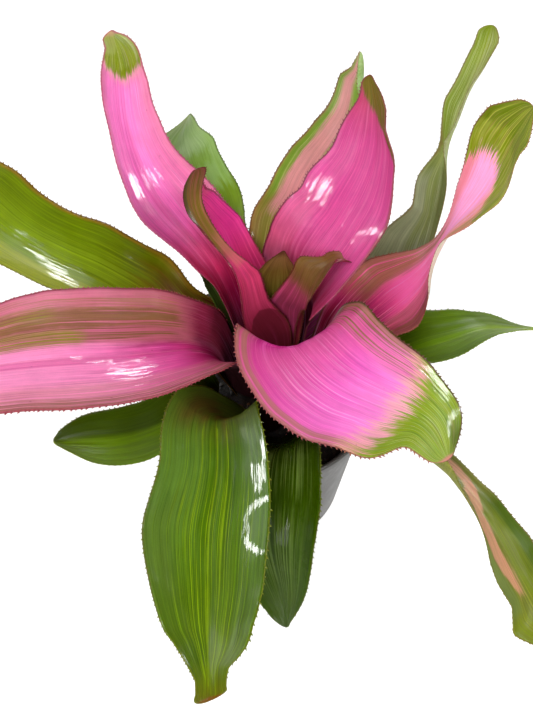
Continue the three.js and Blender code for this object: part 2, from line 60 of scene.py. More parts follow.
class Net:
    """Shorthand for building a node tree."""

    def __init__(self, name):
        self.mat = bpy.data.materials.new(name)
        self.mat.use_nodes = True
        self.tree = self.mat.node_tree
        self.tree.nodes.clear()
        self.out = self.tree.nodes.new("ShaderNodeOutputMaterial")
        self.bsdf = self.tree.nodes.new("ShaderNodeBsdfPrincipled")
        self.tree.links.new(self.bsdf.outputs[0], self.out.inputs[0])

    def put(self, socket, value):
        if hasattr(value, "is_output"):
            self.tree.links.new(value, socket)
        elif value is not None:
            socket.default_value = value

    def node(self, kind, **props):
        n = self.tree.nodes.new(kind)
        for k, v in props.items():
            setattr(n, k, v)
        return n

    def attr(self, name):
        n = self.node("ShaderNodeAttribute", attribute_type="GEOMETRY", attribute_name=name)
        return n.outputs["Fac"]

    def math(self, op, a, b=None, c=None, clamp=False):
        n = self.node("ShaderNodeMath", operation=op, use_clamp=clamp)
        self.put(n.inputs[0], a)
        self.put(n.inputs[1], b)
        if c is not None:
            self.put(n.inputs[2], c)
        return n.outputs[0]

    def add(self, a, b):
        return self.math("ADD", a, b)

    def mul(self, a, b, clamp=False):
        return self.math("MULTIPLY", a, b, clamp=clamp)

    def step(self, x, low, high):
        """0 below low, 1 above high, smooth between."""
        n = self.node("ShaderNodeMapRange", interpolation_type="SMOOTHSTEP", clamp=True)
        self.put(n.inputs["Value"], x)
        self.put(n.inputs["From Min"], low)
        self.put(n.inputs["From Max"], high)
        return n.outputs["Result"]

    def span(self, x, a, b, c, d):
        n = self.node("ShaderNodeMapRange", interpolation_type="LINEAR", clamp=True)
        self.put(n.inputs["Value"], x)
        for k, v in zip(("From Min", "From Max", "To Min", "To Max"), (a, b, c, d)):
            self.put(n.inputs[k], v)
        return n.outputs["Result"]

    def vec(self, x, y, z=0.0):
        n = self.node("ShaderNodeCombineXYZ")
        for s, v in zip(n.inputs, (x, y, z)):
            self.put(s, v)
        return n.outputs[0]

    def noise(self, vector, scale=1.0, detail=2.0, rough=0.5, warp=0.0):
        n = self.node("ShaderNodeTexNoise", noise_dimensions="3D")
        self.put(n.inputs["Vector"], vector)
        self.put(n.inputs["Scale"], scale)
        self.put(n.inputs["Detail"], detail)
        self.put(n.inputs["Roughness"], rough)
        self.put(n.inputs["Distortion"], warp)
        return n.outputs["Fac"]

    def cells(self, vector, scale=1.0, feature="F1"):
        n = self.node("ShaderNodeTexVoronoi", feature=feature)
        self.put(n.inputs["Vector"], vector)
        self.put(n.inputs["Scale"], scale)
        return n

    def mix(self, fac, a, b, blend="MIX"):
        n = self.node("ShaderNodeMix", data_type="RGBA", blend_type=blend, clamp_factor=True)
        self.put(n.inputs[0], fac)
        self.put(n.inputs[6], a)
        self.put(n.inputs[7], b)
        return n.outputs[2]

    def ramp(self, fac, stops, interp="LINEAR"):
        n = self.node("ShaderNodeValToRGB")
        r = n.color_ramp
        r.interpolation = interp
        while len(r.elements) > 1:
            r.elements.remove(r.elements[-1])
        r.elements[0].position, r.elements[0].color = stops[0][0], lin(*stops[0][1])
        for p, c in stops[1:]:
            e = r.elements.new(p)
            e.color = lin(*c)
        self.put(n.inputs[0], fac)
        return n.outputs[0]

    def bump(self, height, distance, strength=1.0, normal=None):
        n = self.node("ShaderNodeBump")
        n.inputs["Strength"].default_value = strength
        n.inputs["Distance"].default_value = distance
        self.put(n.inputs["Height"], height)
        if normal is not None:
            self.put(n.inputs["Normal"], normal)
        return n.outputs[0]


# ------------------------------------------------------------------ mesh helpers


def new_object(name, verts, faces, material, smooth=True):
    me = bpy.data.meshes.new(name)
    me.from_pydata([tuple(v) for v in verts], [], faces)
    me.validate()
    me.update()
    ob = bpy.data.objects.new(name, me)
    bpy.context.scene.collection.objects.link(ob)
    if material:
        me.materials.append(material)
    if smooth:
        me.polygons.foreach_set("use_smooth", [True] * len(me.polygons))
    return ob


def put_attr(ob, name, values):
    a = ob.data.attributes.new(name, "FLOAT", "POINT")
    a.data.foreach_set("value", np.asarray(values, np.float32))


def wave(x, seed, count=5, low=0.6, high=1.6):
    """A smooth pseudo-random curve of x, about -1 to 1, with a period near 1."""
    r = np.random.default_rng(seed)
    out = np.zeros_like(np.asarray(x, float))
    for _ in range(count):
        out = out + np.sin(2 * np.pi * (x * r.uniform(low, high) + r.uniform(0, 1))) * r.uniform(0.5, 1)
    return out / count * 1.5


# ------------------------------------------------------------------ leaves
# ctrl: one control point of a uniform cubic B-spline a row, base to tip, in mm: the middle of the
# chord x, y, z, half of the chord to the right-hand margin dx, dy, dz, and the depth of the channel.
# right, left: how far, in mm, each margin stands out from that, in 41 even steps from base to tip.

LEAVES = {
    "P": dict(
        node="leaf_inner_left", slot="leaf_magenta", tip=0.86,
        ctrl=np.array([
            [11.3, 2.8, 140.7, 8.9, 11.6, 1.0, 9.6],
            [8.6, 3.8, 159.1, 9.5, 17.2, 0.2, 12.3],
            [2.4, 6.1, 176.3, 4.1, 18.8, -3.3, 12.1],
            [-1.8, 11.6, 193.8, 3.4, 17.8, -4.9, 9.1],
            [-7.7, 18.4, 210.1, 1.7, 13.0, -5.6, 5.1],
            [-17.5, 24.5, 224.5, -3.5, 8.7, -6.4, 4.7],
            [-29.9, 28.7, 238.6, -1.4, 10.9, -3.1, 4.7],
            [-36.7, 32.0, 255.3, 3.8, 11.9, -1.1, 3.2],
            [-34.2, 34.0, 274.7, 9.5, 10.8, -0.7, 1.8],
        ]),
        right=[-1.9, -1.1, -0.2, 0.6, 0.9, 1.0, 0.9, 0.3, -0.2, -0.6, -1.0, -1.5, -1.4, -0.8, -0.4, 0, 0.8, 1.9, 1.3, -0.2, 0.1, -0.4, -1.1, -1.6, -1.8, -1.6, -1.3, -1.1, -0.9, -0.9, -1.1, -1.3, -1.5, -1.1, -0.1, 0.1, 0.1, 0.2, 0.5, 0.9, 1.2],
        left=[0, 0, 0, 0, 0, 0, 0, 0.1, 0.1, 0.1, 0.2, 0.2, 0.2, 0.2, 0, -0.2, -0.6, -0.8, 0, 1.1, 2.1, 2.1, 1.4, 0.4, -0.6, -1.5, -1.8, -1.2, 0.6, 1.9, 1.3, -0.4, -0.5, 0.2, 0.1, -0.1, -0.1, 0, 0, -0.7, -1.9],
        span=dict(L=[(0, -1), (0.06, -1), (0.11, -0.83), (0.16, -0.66), (0.22, -0.51), (0.27, -0.4), (0.32, -0.33), (0.38, -0.3), (0.48, -0.33), (0.54, -0.28), (0.59, -0.22), (0.65, -0.22), (0.7, -0.35), (0.76, -0.8), (0.8, -1), (1, -1)]),
    ),
    "R": dict(
        node="leaf_inner_right", slot="leaf_magenta", tip=0.8,
        ctrl=np.array([
            [15.7, 5.3, 137.1, 8.6, -8.2, 1.6, 9.8],
            [16.9, 10.0, 150.4, 11.3, -13.4, 1.9, 12.4],
            [15.6, 11.2, 164.4, 11.5, -17.9, 0.5, 12.2],
            [14.9, 9.7, 178.7, 6.1, -19.9, -0.6, 10.5],
            [16.7, 8.6, 193.4, 0.9, -20.0, 0.9, 8.8],
            [21.6, 10.2, 207.5, 2.7, -18.3, 3.7, 7.0],
            [28.4, 15.4, 218.1, 6.0, -13.4, 6.8, 5.6],
            [37.7, 21.9, 221.3, 5.1, -6.9, 8.6, 4.0],
            [50.0, 25.8, 214.8, 4.0, -7.8, 1.6, 2.2],
        ]),
        right=[0, 0, 0, 0, 0, 0, 0, 0.1, 0.1, 0.1, 0.1, 0, 0, -0.2, -0.4, -0.7, -1.1, -1.5, -1.9, -2.0, -1.7, -0.5, 0.1, 0.3, 0.2, 0, -0.1, -0.1, 0, 0.1, 0.3, 0.5, 0.6, 0.5, -0.8, -2.1, -0.2, 1.8, 3.3, 3.6, 3.8],
        left=[-0.1, -0.1, -0.1, 0, 0, 0.1, 0.3, 0.5, 0.7, 1.0, 1.3, 1.3, 1.1, 0.3, -0.3, -0.5, -0.5, -0.4, -0.3, -0.1, 0, -0.1, -0.2, -0.5, -0.7, -0.7, -0.5, -0.2, 0.2, 0.7, 1.5, 1.5, -0.1, -2.8, -4.9, -4.6, -1.2, 2.6, 2.9, 2.5, 1.9],
        span=dict(R=[(0, -0.3), (0.15, -0.33), (0.22, -0.25), (0.36, -0.15), (0.44, 0), (0.52, 0.05), (0.58, 0.25), (0.65, 0.55), (0.72, 1), (1, 1)]),
    ),
    "Q": dict(
        node="leaf_inner_back", slot="leaf_olive", tip=0.72,
        ctrl=np.array([
            [12.9, 8.9, 136.4, 14.0, 2.6, -1.4, 10.6],
            [12.9, 13.7, 145.9, 16.6, 1.9, -0.8, 11.5],
            [12.7, 18.2, 155.3, 18.6, 0.9, -0.0, 11.6],
            [12.5, 21.5, 164.7, 19.8, 0.1, 0.7, 11.1],
            [12.1, 23.5, 173.8, 20.1, -0.8, 1.4, 10.1],
            [11.4, 25.1, 182.2, 19.3, -1.8, 2.0, 9.9],
            [10.7, 27.6, 189.8, 16.9, -2.9, 2.1, 8.9],
            [10.7, 31.5, 197.4, 12.4, -3.1, 1.0, 7.6],
            [13.3, 37.3, 206.1, 7.3, -1.6, -0.6, 6.0],
        ]),
        right=[0, 0, 0, 0, 0, 0, 0, 0, 0, 0, 0, 0, 0, 0, 0, 0, 0, 0, 0, 0, 0, 0, 0, 0, 0, 0, 0, 0, 0, 0, 0, 0, 0, 0, -0.1, -0.2, -0.4, -0.6, -0.9, -0.9, -1.0],
        left=[0, 0, 0, 0, 0, 0, 0, 0, 0, 0, 0, 0, 0, 0, 0, 0, 0, 0, 0, 0, 0, 0, 0, 0, 0, 0, 0, 0, 0, -0.1, -0.1, -0.2, -0.3, -0.4, -0.4, -0.3, -0.1, -0.2, -0.5, -0.7, -0.8],
        span=dict(R=[(0, 0.7), (0.5, 0.7), (0.56, 0.8), (0.63, 1), (1, 1)]),
    ),
    "O": dict(
        node="leaf_inner_magenta", slot="leaf_magenta", tip=0.75,
        ctrl=np.array([
            [7.7, 10.1, 135.1, 11.4, 11.1, -1.7, 11.2],
            [3.7, 16.5, 152.8, 12.4, 14.7, -4.3, 13.1],
            [-1.3, 26.2, 168.8, 11.9, 17.4, -7.9, 13.8],
            [-6.6, 37.4, 183.4, 9.1, 19.1, -10.8, 13.4],
            [-11.7, 48.3, 197.2, 5.8, 20.4, -10.3, 11.7],
            [-19.4, 56.0, 209.8, 1.6, 19.8, -6.5, 10.2],
            [-29.2, 58.0, 222.2, -2.9, 17.0, -2.2, 8.0],
            [-33.4, 55.8, 237.1, -2.0, 14.0, 2.8, 6.3],
            [-32.3, 47.1, 251.7, 4.0, 11.0, 6.0, 4.5],
        ]),
        right=[0, 0, 0, 0, 0, 0, 0, 0, 0.1, 0.2, 0.3, 0.4, 0.6, 0.7, 0.7, 0.6, 0.1, -0.5, -1.1, -1.1, -0.6, -0.1, 0.8, 2.1, 1.0, 0, -0.5, -0.7, -0.6, -0.3, -1.9, -4.4, -5.3, -4.9, -4.0, -2.9, -1.9, -1.0, -0.3, 0.3, 0.9],
        left=[0, 0, 0, 0, 0, 0, 0, 0, 0, 0, 0, 0.1, 0.1, 0.1, 0.1, 0.1, 0.1, 0, -0.2, -0.5, -1.0, -1.6, -2.2, -2.9, -3.2, -2.9, -1.4, 0.1, 0.7, 0.8, 0.7, 0.5, 0.2, -0.2, -1.0, -1.6, -1.7, -1.5, -1.2, -0.7, -0.3],
        span=dict(L=[(0, 0.2), (0.25, 0.35), (0.32, 0.35), (0.39, 0.3), (0.46, 0.2), (0.54, 0), (0.61, -0.35), (0.68, -0.7), (0.75, -0.9), (0.8, -1), (1, -1)]),
    ),
    "M": dict(
        node="leaf_back_pink", slot="leaf_pink", tip=0.78,
        ctrl=np.array([
            [21.4, 9.0, 132.8, 13.9, -8.6, 5.2, 12.3],
            [16.4, 16.0, 156.3, 12.4, -25.4, 10.9, 18.9],
            [9.2, 23.4, 177.5, 9.1, -36.6, 11.4, 20.7],
            [15.3, 29.3, 198.0, 12.7, -38.4, 5.3, 14.6],
            [32.2, 36.0, 218.0, 16.5, -32.9, 1.3, 11.4],
            [48.1, 44.8, 237.9, 19.7, -26.2, 1.3, 10.0],
            [56.9, 54.0, 258.3, 16.6, -20.1, 3.6, 8.1],
            [58.5, 64.2, 280.2, 9.5, -14.0, 4.7, 5.9],
            [57.3, 75.8, 302.5, 8.3, -6.4, 5.3, 3.5],
        ]),
        right=[0.8, 0.4, 0.1, -0.4, -1.0, -1.8, -2.8, -3.9, -4.9, -5.3, -4.5, -1.9, -0.7, -0.5, -0.1, 0.3, 0.4, 0.4, 0.6, 0.3, -0.1, -0.2, -0.5, -0.5, -0.4, 0.1, 0.8, 0.5, 0, -0.2, -0.4, -0.1, 0.9, 0.9, -1.3, -2.6, -0.3, 1.9, 1.3, -0.5, -2.2],
        left=[-0.3, -0.2, -0.2, -0.1, 0.1, 0.4, 0.8, 1.4, 2.1, 2.8, 3.3, 3.2, 2.3, 1.0, -0.4, -0.7, -0.1, -0.1, -0.2, 0.2, 0.6, 0.1, -1.1, -0.9, 0.4, 0.8, 0.7, 0.3, -0.4, -0.8, -0.7, -0.2, 0.3, 0.8, 0.9, 0.6, -0.2, -1.3, -1.5, 0, 1.6],
        span=dict(R=[(0, -0.2), (0.08, -0.2), (0.12, -0.05), (0.16, 0.15), (0.2, 0.22), (0.27, 0.22), (0.31, 0.5), (0.35, 1), (1, 1)]),
    ),
    "A": dict(
        node="leaf_back_left_pink", slot="leaf_pink", tip=0.85,
        ctrl=np.array([
            [2.6, 9.5, 129.7, 13.0, 10.3, -4.9, 12.1],
            [-1.1, 26.6, 157.1, 11.3, 19.2, -9.0, 16.0],
            [-11.3, 42.7, 182.0, 9.7, 24.5, -8.9, 15.0],
            [-31.0, 55.1, 203.5, 12.3, 25.4, -4.9, 13.9],
            [-53.6, 65.5, 221.9, 16.6, 22.4, -1.7, 10.8],
            [-68.7, 80.3, 240.9, 13.6, 13.7, -2.8, 8.4],
            [-76.8, 101.7, 258.9, 12.9, 7.0, -2.1, 6.8],
            [-81.0, 128.2, 269.3, 11.8, 4.9, 1.8, 5.7],
            [-90.4, 156.7, 268.9, 8.8, 3.3, 3.1, 4.8],
        ]),
        right=[0, 0, 0, 0, 0, 0, 0, 0, 0, 0, -0.1, -0.1, -0.2, -0.3, -0.4, -0.4, -0.4, -0.2, 0.2, 0.3, 0.3, 0.1, -0.3, -0.4, -0.3, -0.2, 0.1, 0.3, 0.3, -0.2, -0.3, -0.1, 0.1, -0.3, -0.5, -0.1, 0.7, 0.8, 0.3, -1.2, -3.1],
        left=[0.2, -0.2, -0.6, -0.9, -1.3, -1.6, -1.6, -1.2, -0.3, 0.1, -0.7, -1.0, 0.1, 1.4, 1.0, -0.3, -1.1, -0.9, -0.3, 0.4, 0.7, 0.5, 0.5, 0.1, -0.1, -0.2, -0.4, -0.4, -0.3, -0.2, 0, 0.4, 0.6, 0.6, 0.3, -0.2, -0.6, -1.3, -1.8, 0.5, 3.5],
        span=dict(L=[(0, -0.8), (0.08, -0.68), (0.12, -0.62), (0.19, -0.62), (0.23, -0.68), (0.27, -0.79), (0.31, -0.93), (0.35, -1), (1, -1)]),
    ),
    "H": dict(
        node="leaf_front_pink", slot="leaf_pink", tip=0.75,
        ctrl=np.array([
            [23.4, -10.5, 133.5, -12.6, -11.4, 0.3, 11.4],
            [17.6, -2.4, 160.1, -22.0, -10.5, -0.0, 16.4],
            [15.1, 2.7, 186.6, -28.5, -7.4, 1.7, 18.5],
            [16.9, -5.1, 205.0, -33.1, -9.3, 2.3, 18.6],
            [23.6, -27.4, 205.5, -35.7, -22.5, -5.4, 16.0],
            [41.9, -48.1, 198.4, -25.2, -30.6, -9.1, 12.0],
            [70.0, -59.2, 193.3, -13.5, -30.2, -8.4, 8.0],
            [94.1, -64.7, 187.7, -15.8, -17.5, -2.2, 5.5],
            [102.4, -80.8, 170.0, -19.4, -12.3, 0.1, 3.0],
        ]),
        right=[-0.9, -0.3, 0.4, 1.1, 2.0, 3.0, 4.0, 4.8, 4.9, 3.6, 1.9, 0.6, -1.4, -2.9, -2.0, -1.2, -0.7, 0, 0.4, 0.4, -0.2, -0.3, 0.3, 0.6, 0.2, 0.5, 0.4, -1.1, -1.7, -0.2, 1.5, 2.3, 1.3, -0.9, -2.8, -2.2, -0.8, 0, 0.6, 1.1, 1.2],
        left=[0, 0, 0, 0, 0, 0, 0, 0, -0.1, -0.1, -0.1, -0.1, -0.1, 0, 0.1, 0.4, 0.7, 1.1, 1.0, 0.5, 0.1, 0, -0.1, -0.1, -0.1, -0.1, -0.3, -0.3, -0.1, 0.1, 0.2, 0.2, 0.1, -0.7, -0.6, 0.1, 1.0, 1.0, -0.2, -1.7, -3.4],
    ),
    "N": dict(
        node="leaf_back_olive", slot="leaf_olive", tip=0.82,
        ctrl=np.array([
            [17.7, 17.8, 128.9, 18.5, -5.6, 5.1, 12.0],
            [14.5, 31.2, 151.7, 22.4, -8.8, 6.9, 14.9],
            [13.9, 47.7, 172.2, 26.1, -13.1, 6.5, 15.2],
            [18.5, 63.0, 191.8, 26.2, -17.3, 3.8, 13.8],
            [28.4, 75.7, 211.1, 21.5, -20.2, 1.7, 12.0],
            [39.0, 85.7, 230.6, 17.0, -21.6, 1.3, 10.7],
            [47.8, 92.6, 250.2, 8.7, -19.4, 3.9, 8.8],
            [50.0, 99.2, 272.1, 5.5, -17.7, 3.5, 6.5],
            [54.2, 103.7, 294.7, -3.1, -13.8, 3.7, 4.2],
        ]),
        right=[0, 0, 0, 0, 0, 0, 0, 0, 0, 0, 0, 0, 0, 0, 0, 0, 0, 0, 0, 0, 0, 0, 0, 0, 0, 0, 0, 0, 0, 0, 0, 0, 0, 0, 0, 0, 0, 0, 0, 0, 0],
        left=[0, 0, 0, 0, 0, 0, -0.1, -0.1, -0.2, -0.4, -0.5, -0.6, -0.6, -0.5, -0.1, 0.8, 1.0, 0.1, -1.0, -1.4, -0.5, 0.3, 0.5, 0.7, 0.9, 0.1, -0.3, -0.2, 0.1, -0.3, -1.1, -1.3, -1.1, -0.4, 1.3, 3.1, 0.1, -2.5, -0.7, 0.8, 2.1],
        span=dict(R=[(0, 0.1), (0.3, 0.1), (0.42, 0.4), (0.6, 1), (1, 1)]),
    ),
    "K": dict(
        node="leaf_right_pink", slot="leaf_pink", tip=0.84,
        ctrl=np.array([
            [31.0, 8.3, 129.3, 0.3, -17.9, 1.9, 12.0],
            [44.4, 12.7, 157.5, 6.9, -23.4, 1.5, 15.9],
            [65.3, 20.4, 176.9, 12.3, -28.4, 1.9, 16.4],
            [86.4, 27.6, 189.2, 11.3, -28.1, 5.6, 11.0],
            [98.5, 37.0, 203.1, -4.9, -16.1, 12.5, 3.0],
            [108.3, 45.6, 222.7, -5.4, -17.3, 8.4, 2.0],
            [119.6, 50.5, 246.7, 3.6, -25.5, 0.6, 8.5],
            [125.7, 55.0, 274.1, 6.0, -23.9, -3.3, 8.8],
            [140.4, 53.3, 300.2, 3.1, -15.5, -4.0, 2.8],
        ]),
        right=[0.3, 0.2, 0.1, -0.1, -0.4, -0.7, -1.2, -1.7, -2.3, -2.6, -2.6, -1.6, 0.3, 1.4, 1.0, 0.7, 0.8, 0.7, -2.2, -3.9, -4.4, -4.1, -3.4, -2.2, -0.7, 0.8, 0.9, 0.6, 0.3, -0.1, -0.2, 0.4, 1.1, 0.9, 0.4, -0.4, -1.7, -1.4, 1.0, 0, -1.9],
        left=[0.2, 0.1, 0, -0.1, -0.3, -0.6, -0.9, -1.3, -1.6, -1.9, -1.7, -1.0, 0.7, 1.4, 0.6, -0.1, -0.3, -0.4, -0.6, 0.2, 0.5, -2.5, -3.4, -3.1, -2.2, -1.2, -0.5, -0.4, -1.2, -1.5, -1.3, -1.0, 0.3, 1.1, 0.4, -0.1, 0.5, -0.3, -0.3, 0.3, -0.6],
    ),
    "D": dict(
        node="leaf_left_pink", slot="leaf_pink", tip=0.72,
        ctrl=np.array([
            [-6.1, -0.5, 129.5, -6.2, 17.1, -2.4, 12.8],
            [-10.3, 3.9, 161.6, -9.9, 22.4, -2.4, 16.9],
            [-24.3, -2.3, 186.5, -15.0, 24.1, -2.2, 17.3],
            [-45.2, -17.5, 202.6, -18.1, 29.4, 1.2, 16.7],
            [-70.1, -33.5, 214.4, -16.3, 33.7, 4.3, 14.4],
            [-97.7, -44.7, 225.6, -12.0, 34.6, 5.8, 12.1],
            [-126.9, -54.2, 232.0, -8.1, 31.2, 4.6, 9.6],
            [-157.3, -62.3, 232.6, -5.1, 28.0, 3.7, 7.0],
            [-188.6, -65.8, 229.7, -2.7, 22.9, 2.2, 4.4],
        ]),
        right=[0.1, 0.7, 1.3, 1.9, 2.3, 2.3, 1.7, 0.1, -0.6, 0, -0.1, -0.3, -0.3, -0.4, -0.1, 0.4, 0.2, 0, -0.1, -0.1, -0.1, -0.1, -0.2, -0.2, -0.2, 0.2, 0.5, 0.2, 0.2, 0, -0.5, -0.7, -0.7, -0.6, -0.5, -0.3, -0.2, -0.1, 0, 0.1, 0.1],
        left=[0.2, 0.1, 0.1, 0, -0.1, -0.3, -0.6, -0.8, -1.1, -1.4, -1.4, -1.1, -0.2, 0.4, 0.4, 0.1, -0.1, -0.3, -0.1, 0.4, 0.3, -0.3, -0.2, 0.2, 0.2, 0.1, 0.1, -0.1, -0.3, -0.5, -0.2, 0.5, 1.1, 1.2, 1.0, 0.8, 0.6, 0.3, 0.1, 0, -0.2],
    ),
    "L": dict(
        node="leaf_right_back_green", slot="leaf_green", tip=0.85,
        ctrl=np.array([
            [30.5, 14.6, 124.3, 15.0, -20.0, -2.3, 8.4],
            [47.8, 22.3, 147.6, 15.2, -27.0, 4.6, 18.1],
            [64.2, 41.5, 169.2, 5.3, -24.5, 20.5, 32.7],
            [87.7, 65.1, 180.6, 8.5, -17.5, 14.7, 17.9],
            [106.3, 91.9, 191.4, 10.3, -7.6, 4.2, 6.3],
            [111.1, 116.5, 210.3, 0.3, -4.9, 1.5, 4.0],
            [117.1, 135.4, 231.9, 3.1, -6.6, 2.4, 6.5],
            [131.7, 151.9, 249.7, 4.7, -6.1, 3.8, 5.2],
            [142.2, 173.8, 260.1, 10.0, -6.4, 2.1, 2.0],
        ]),
        right=[0, 0, 0, 0, 0, 0, 0, 0, 0, 0, 0.1, 0.2, 0.4, 0.6, 0.8, 0.9, 0.9, 0.5, -0.2, -0.3, -0.2, 0.3, 1.0, 1.3, 0.7, -2.0, -4.4, -1.1, 1.7, 2.0, 1.1, -0.4, -1.4, -1.1, 0.1, 0.6, 0.1, 0.2, 0.9, 0.2, -0.7],
        left=[0, 0, -0.1, -0.2, -0.2, -0.3, -0.3, -0.2, 0.1, 0.5, 1.1, 2.1, 3.4, 4.8, 6.0, 6.0, 5.9, 2.5, -2.4, -4.7, -1.5, 2.1, 3.9, 2.2, -0.8, -3.4, -3.6, -1.4, 0.5, 1.9, 2.3, 1.0, 0.1, -0.2, -0.2, -0.5, -0.9, -1.5, -0.8, 1.0, 1.5],
        span=dict(R=[(0, 0.5), (0.1, 0.5), (0.15, 0.35), (0.2, 0.25), (0.28, 0.2), (0.34, 0.25), (0.4, 0.45), (0.45, 0.75), (0.48, 1), (1, 1)]),
    ),
    "B": dict(
        node="leaf_back_left_green", slot="leaf_green", tip=0.75,
        ctrl=np.array([
            [2.8, 24.3, 124.4, 17.5, 8.1, 0.1, 10.4],
            [-4.7, 36.1, 147.5, 17.0, 14.2, -2.1, 13.4],
            [-15.4, 48.7, 168.6, 15.5, 17.8, -4.6, 12.6],
            [-26.5, 62.8, 187.5, 17.2, 17.6, -6.1, 12.1],
            [-36.6, 80.7, 201.3, 23.9, 15.5, -4.9, 10.3],
            [-48.3, 102.0, 206.2, 25.5, 11.1, -2.5, 8.9],
            [-56.7, 125.6, 202.7, 25.5, 6.7, 2.9, 7.1],
            [-59.4, 149.7, 193.9, 18.7, 1.4, 8.3, 5.8],
            [-50.1, 175.4, 186.1, 11.4, -0.1, 15.1, 4.4],
        ]),
        right=[0, 0, 0, 0.1, 0.1, 0.1, 0.1, 0, -0.1, -0.3, -0.5, -0.8, -1.2, -1.6, -1.8, -1.7, -1.0, 0.1, 0.3, 0.6, 0.7, 0.6, 0.3, -0.2, -0.7, -0.7, -0.7, -0.5, -0.1, 0.6, 1.2, 1.0, 0, -0.7, -1.1, -1.0, -0.8, -1.1, -1.8, -2.8, -3.6],
        left=[0.1, 0, -0.1, -0.2, -0.3, -0.5, -0.6, -0.7, -0.7, -0.5, 0, 0.6, -0.3, -0.4, -0.4, -0.3, -0.3, -0.2, -0.1, -0.1, 0, 0, 0, 0, 0, 0, 0, 0, 0, 0, 0, 0, 0, 0, 0, 0, 0, 0, 0, 0, 0],
    ),
    "C": dict(
        node="leaf_left_green", slot="leaf_green", tip=0.72,
        ctrl=np.array([
            [-10.8, 13.2, 124.1, 4.0, 23.8, -0.6, 10.9],
            [-24.9, 15.8, 151.5, 1.5, 27.0, -3.8, 15.4],
            [-46.1, 19.0, 173.6, 0.9, 27.1, -6.6, 15.7],
            [-70.3, 26.2, 192.0, 6.5, 31.6, -4.9, 14.5],
            [-100.5, 33.2, 204.0, 7.4, 31.8, -5.6, 11.7],
            [-131.5, 41.9, 213.3, 9.5, 29.9, -6.7, 11.0],
            [-158.5, 56.2, 225.2, 14.3, 28.2, -5.4, 9.8],
            [-182.7, 73.8, 239.1, 16.8, 24.9, -3.4, 8.2],
            [-205.2, 93.1, 253.9, 17.1, 20.9, -1.1, 6.5],
        ]),
        right=[-1.2, -0.7, -0.2, 0.4, 1.4, 1.7, 1.2, 0, -1.6, -2.5, -2.5, -0.9, 1.0, 2.4, 2.1, 0.4, -0.8, -1.2, -0.8, 0.1, 0.7, 0.5, 0.1, 0.1, 0, -0.4, -0.5, -0.6, -0.4, 0.1, 0.7, 0.8, -0.3, -1.0, -1.2, -1.1, -0.9, -0.6, -0.3, -0.1, 0.1],
        left=[0, 0, 0, 0, 0, 0, 0, 0, 0, 0, 0, 0, 0, 0, -0.1, -0.1, -0.2, -0.3, -0.4, -0.5, -0.5, -0.3, 0.2, 0.1, -0.1, 0, 0.3, 0.4, 0.4, 0.3, 0.2, 0.2, 0.1, 0, 0, 0, 0, 0, 0, 0, 0],
    ),
    "J": dict(
        node="leaf_right_low_green", slot="leaf_green", tip=0.6,
        ctrl=np.array([
            [37.2, 3.6, 122.9, 0.2, -19.9, -0.4, 11.9],
            [46.2, 2.8, 141.8, -6.3, -21.1, 2.7, 16.3],
            [60.0, -0.4, 158.5, -9.4, -22.7, 5.1, 11.3],
            [77.1, -3.8, 170.7, -6.3, -24.4, 6.8, 10.1],
            [95.2, -3.4, 176.9, 1.6, -25.9, 8.4, 8.6],
            [113.8, 1.4, 178.8, 5.8, -22.3, 10.1, 6.8],
            [132.3, 8.3, 177.5, 5.5, -16.5, 10.3, 4.4],
            [151.6, 11.6, 169.9, 6.1, -12.1, 9.3, 3.4],
            [171.3, 15.9, 159.9, 6.4, -7.0, 9.1, 2.4],
        ]),
        right=[0, 0, 0, 0, 0, 0, 0, 0, 0.1, 0.1, 0.1, 0, 0, -0.1, -0.3, -0.5, -0.8, -1.1, -1.3, -1.4, -1.1, -0.1, 0.5, 0.8, 0.7, 0, -0.4, -0.7, -0.7, -0.8, -0.5, 0.3, 0.6, 0.5, 0.6, 0.6, 0.5, 0.4, 0.2, 0.1, 0],
        left=[0, 0, 0, 0, 0, 0, 0, 0, 0, 0, 0, 0, 0, 0, 0, 0.1, 0.1, 0.2, 0.3, 0.5, 0.6, 0.7, 0.6, 0.3, -0.1, -0.5, -0.7, -0.9, -0.8, -0.4, 0.4, 2.6, 4.3, 4.6, 4.0, 3.1, 2.1, 1.3, 0.5, -0.2, -0.8],
    ),
    "I": dict(
        node="leaf_front_right_drooping", slot="leaf_olive", tip=0.82,
        ctrl=np.array([
            [37.2, -11.7, 125.4, -15.4, -10.7, 4.3, 10.4],
            [52.8, -21.2, 149.1, -15.5, -10.8, 11.7, 14.9],
            [74.6, -38.0, 158.4, -11.3, -10.2, 18.2, 12.7],
            [97.3, -59.1, 156.9, -5.7, -8.8, 18.7, 8.9],
            [117.4, -81.9, 149.8, -6.3, -9.0, 12.2, 5.2],
            [133.0, -106.2, 138.7, -10.9, -9.5, 5.4, 4.1],
            [146.7, -130.9, 124.6, -14.9, -10.1, 2.0, 7.3],
            [156.5, -146.5, 114.5, -17.0, -10.7, -0.5, 8.5],
            [165.5, -160.5, 104.5, -16.0, -9.0, -2.0, 6.0],
        ]),
        right=[0, 0, 0, 0, 0, 0, 0, 0, 0, 0, 0, -0.1, -0.2, -0.3, -0.4, -0.5, -0.6, -0.5, -0.3, 0.3, 0.8, 0.8, 0.5, -0.4, -0.9, -1.0, -0.4, 0.9, 1.0, 0.7, -0.8, -2.2, -3.3, -1.5, 0.8, 3.5, 2.6, 1.2, 0.6, 0.3, 0],
        left=[0, 0, 0, 0, 0, 0, 0, 0, 0, 0, 0, 0.1, 0.1, 0.3, 0.4, 0.6, 0.7, 0.8, 0.7, 0.2, -0.7, -0.7, 1.0, 0.9, 0.2, -0.3, -0.3, 0.1, -0.6, -0.8, -0.8, -0.7, -0.5, -0.4, -0.2, -0.1, 0, 0, 0, 0.1, 0.1],
    ),
    "F": dict(
        node="leaf_front_green", slot="leaf_green", tip=0.84,
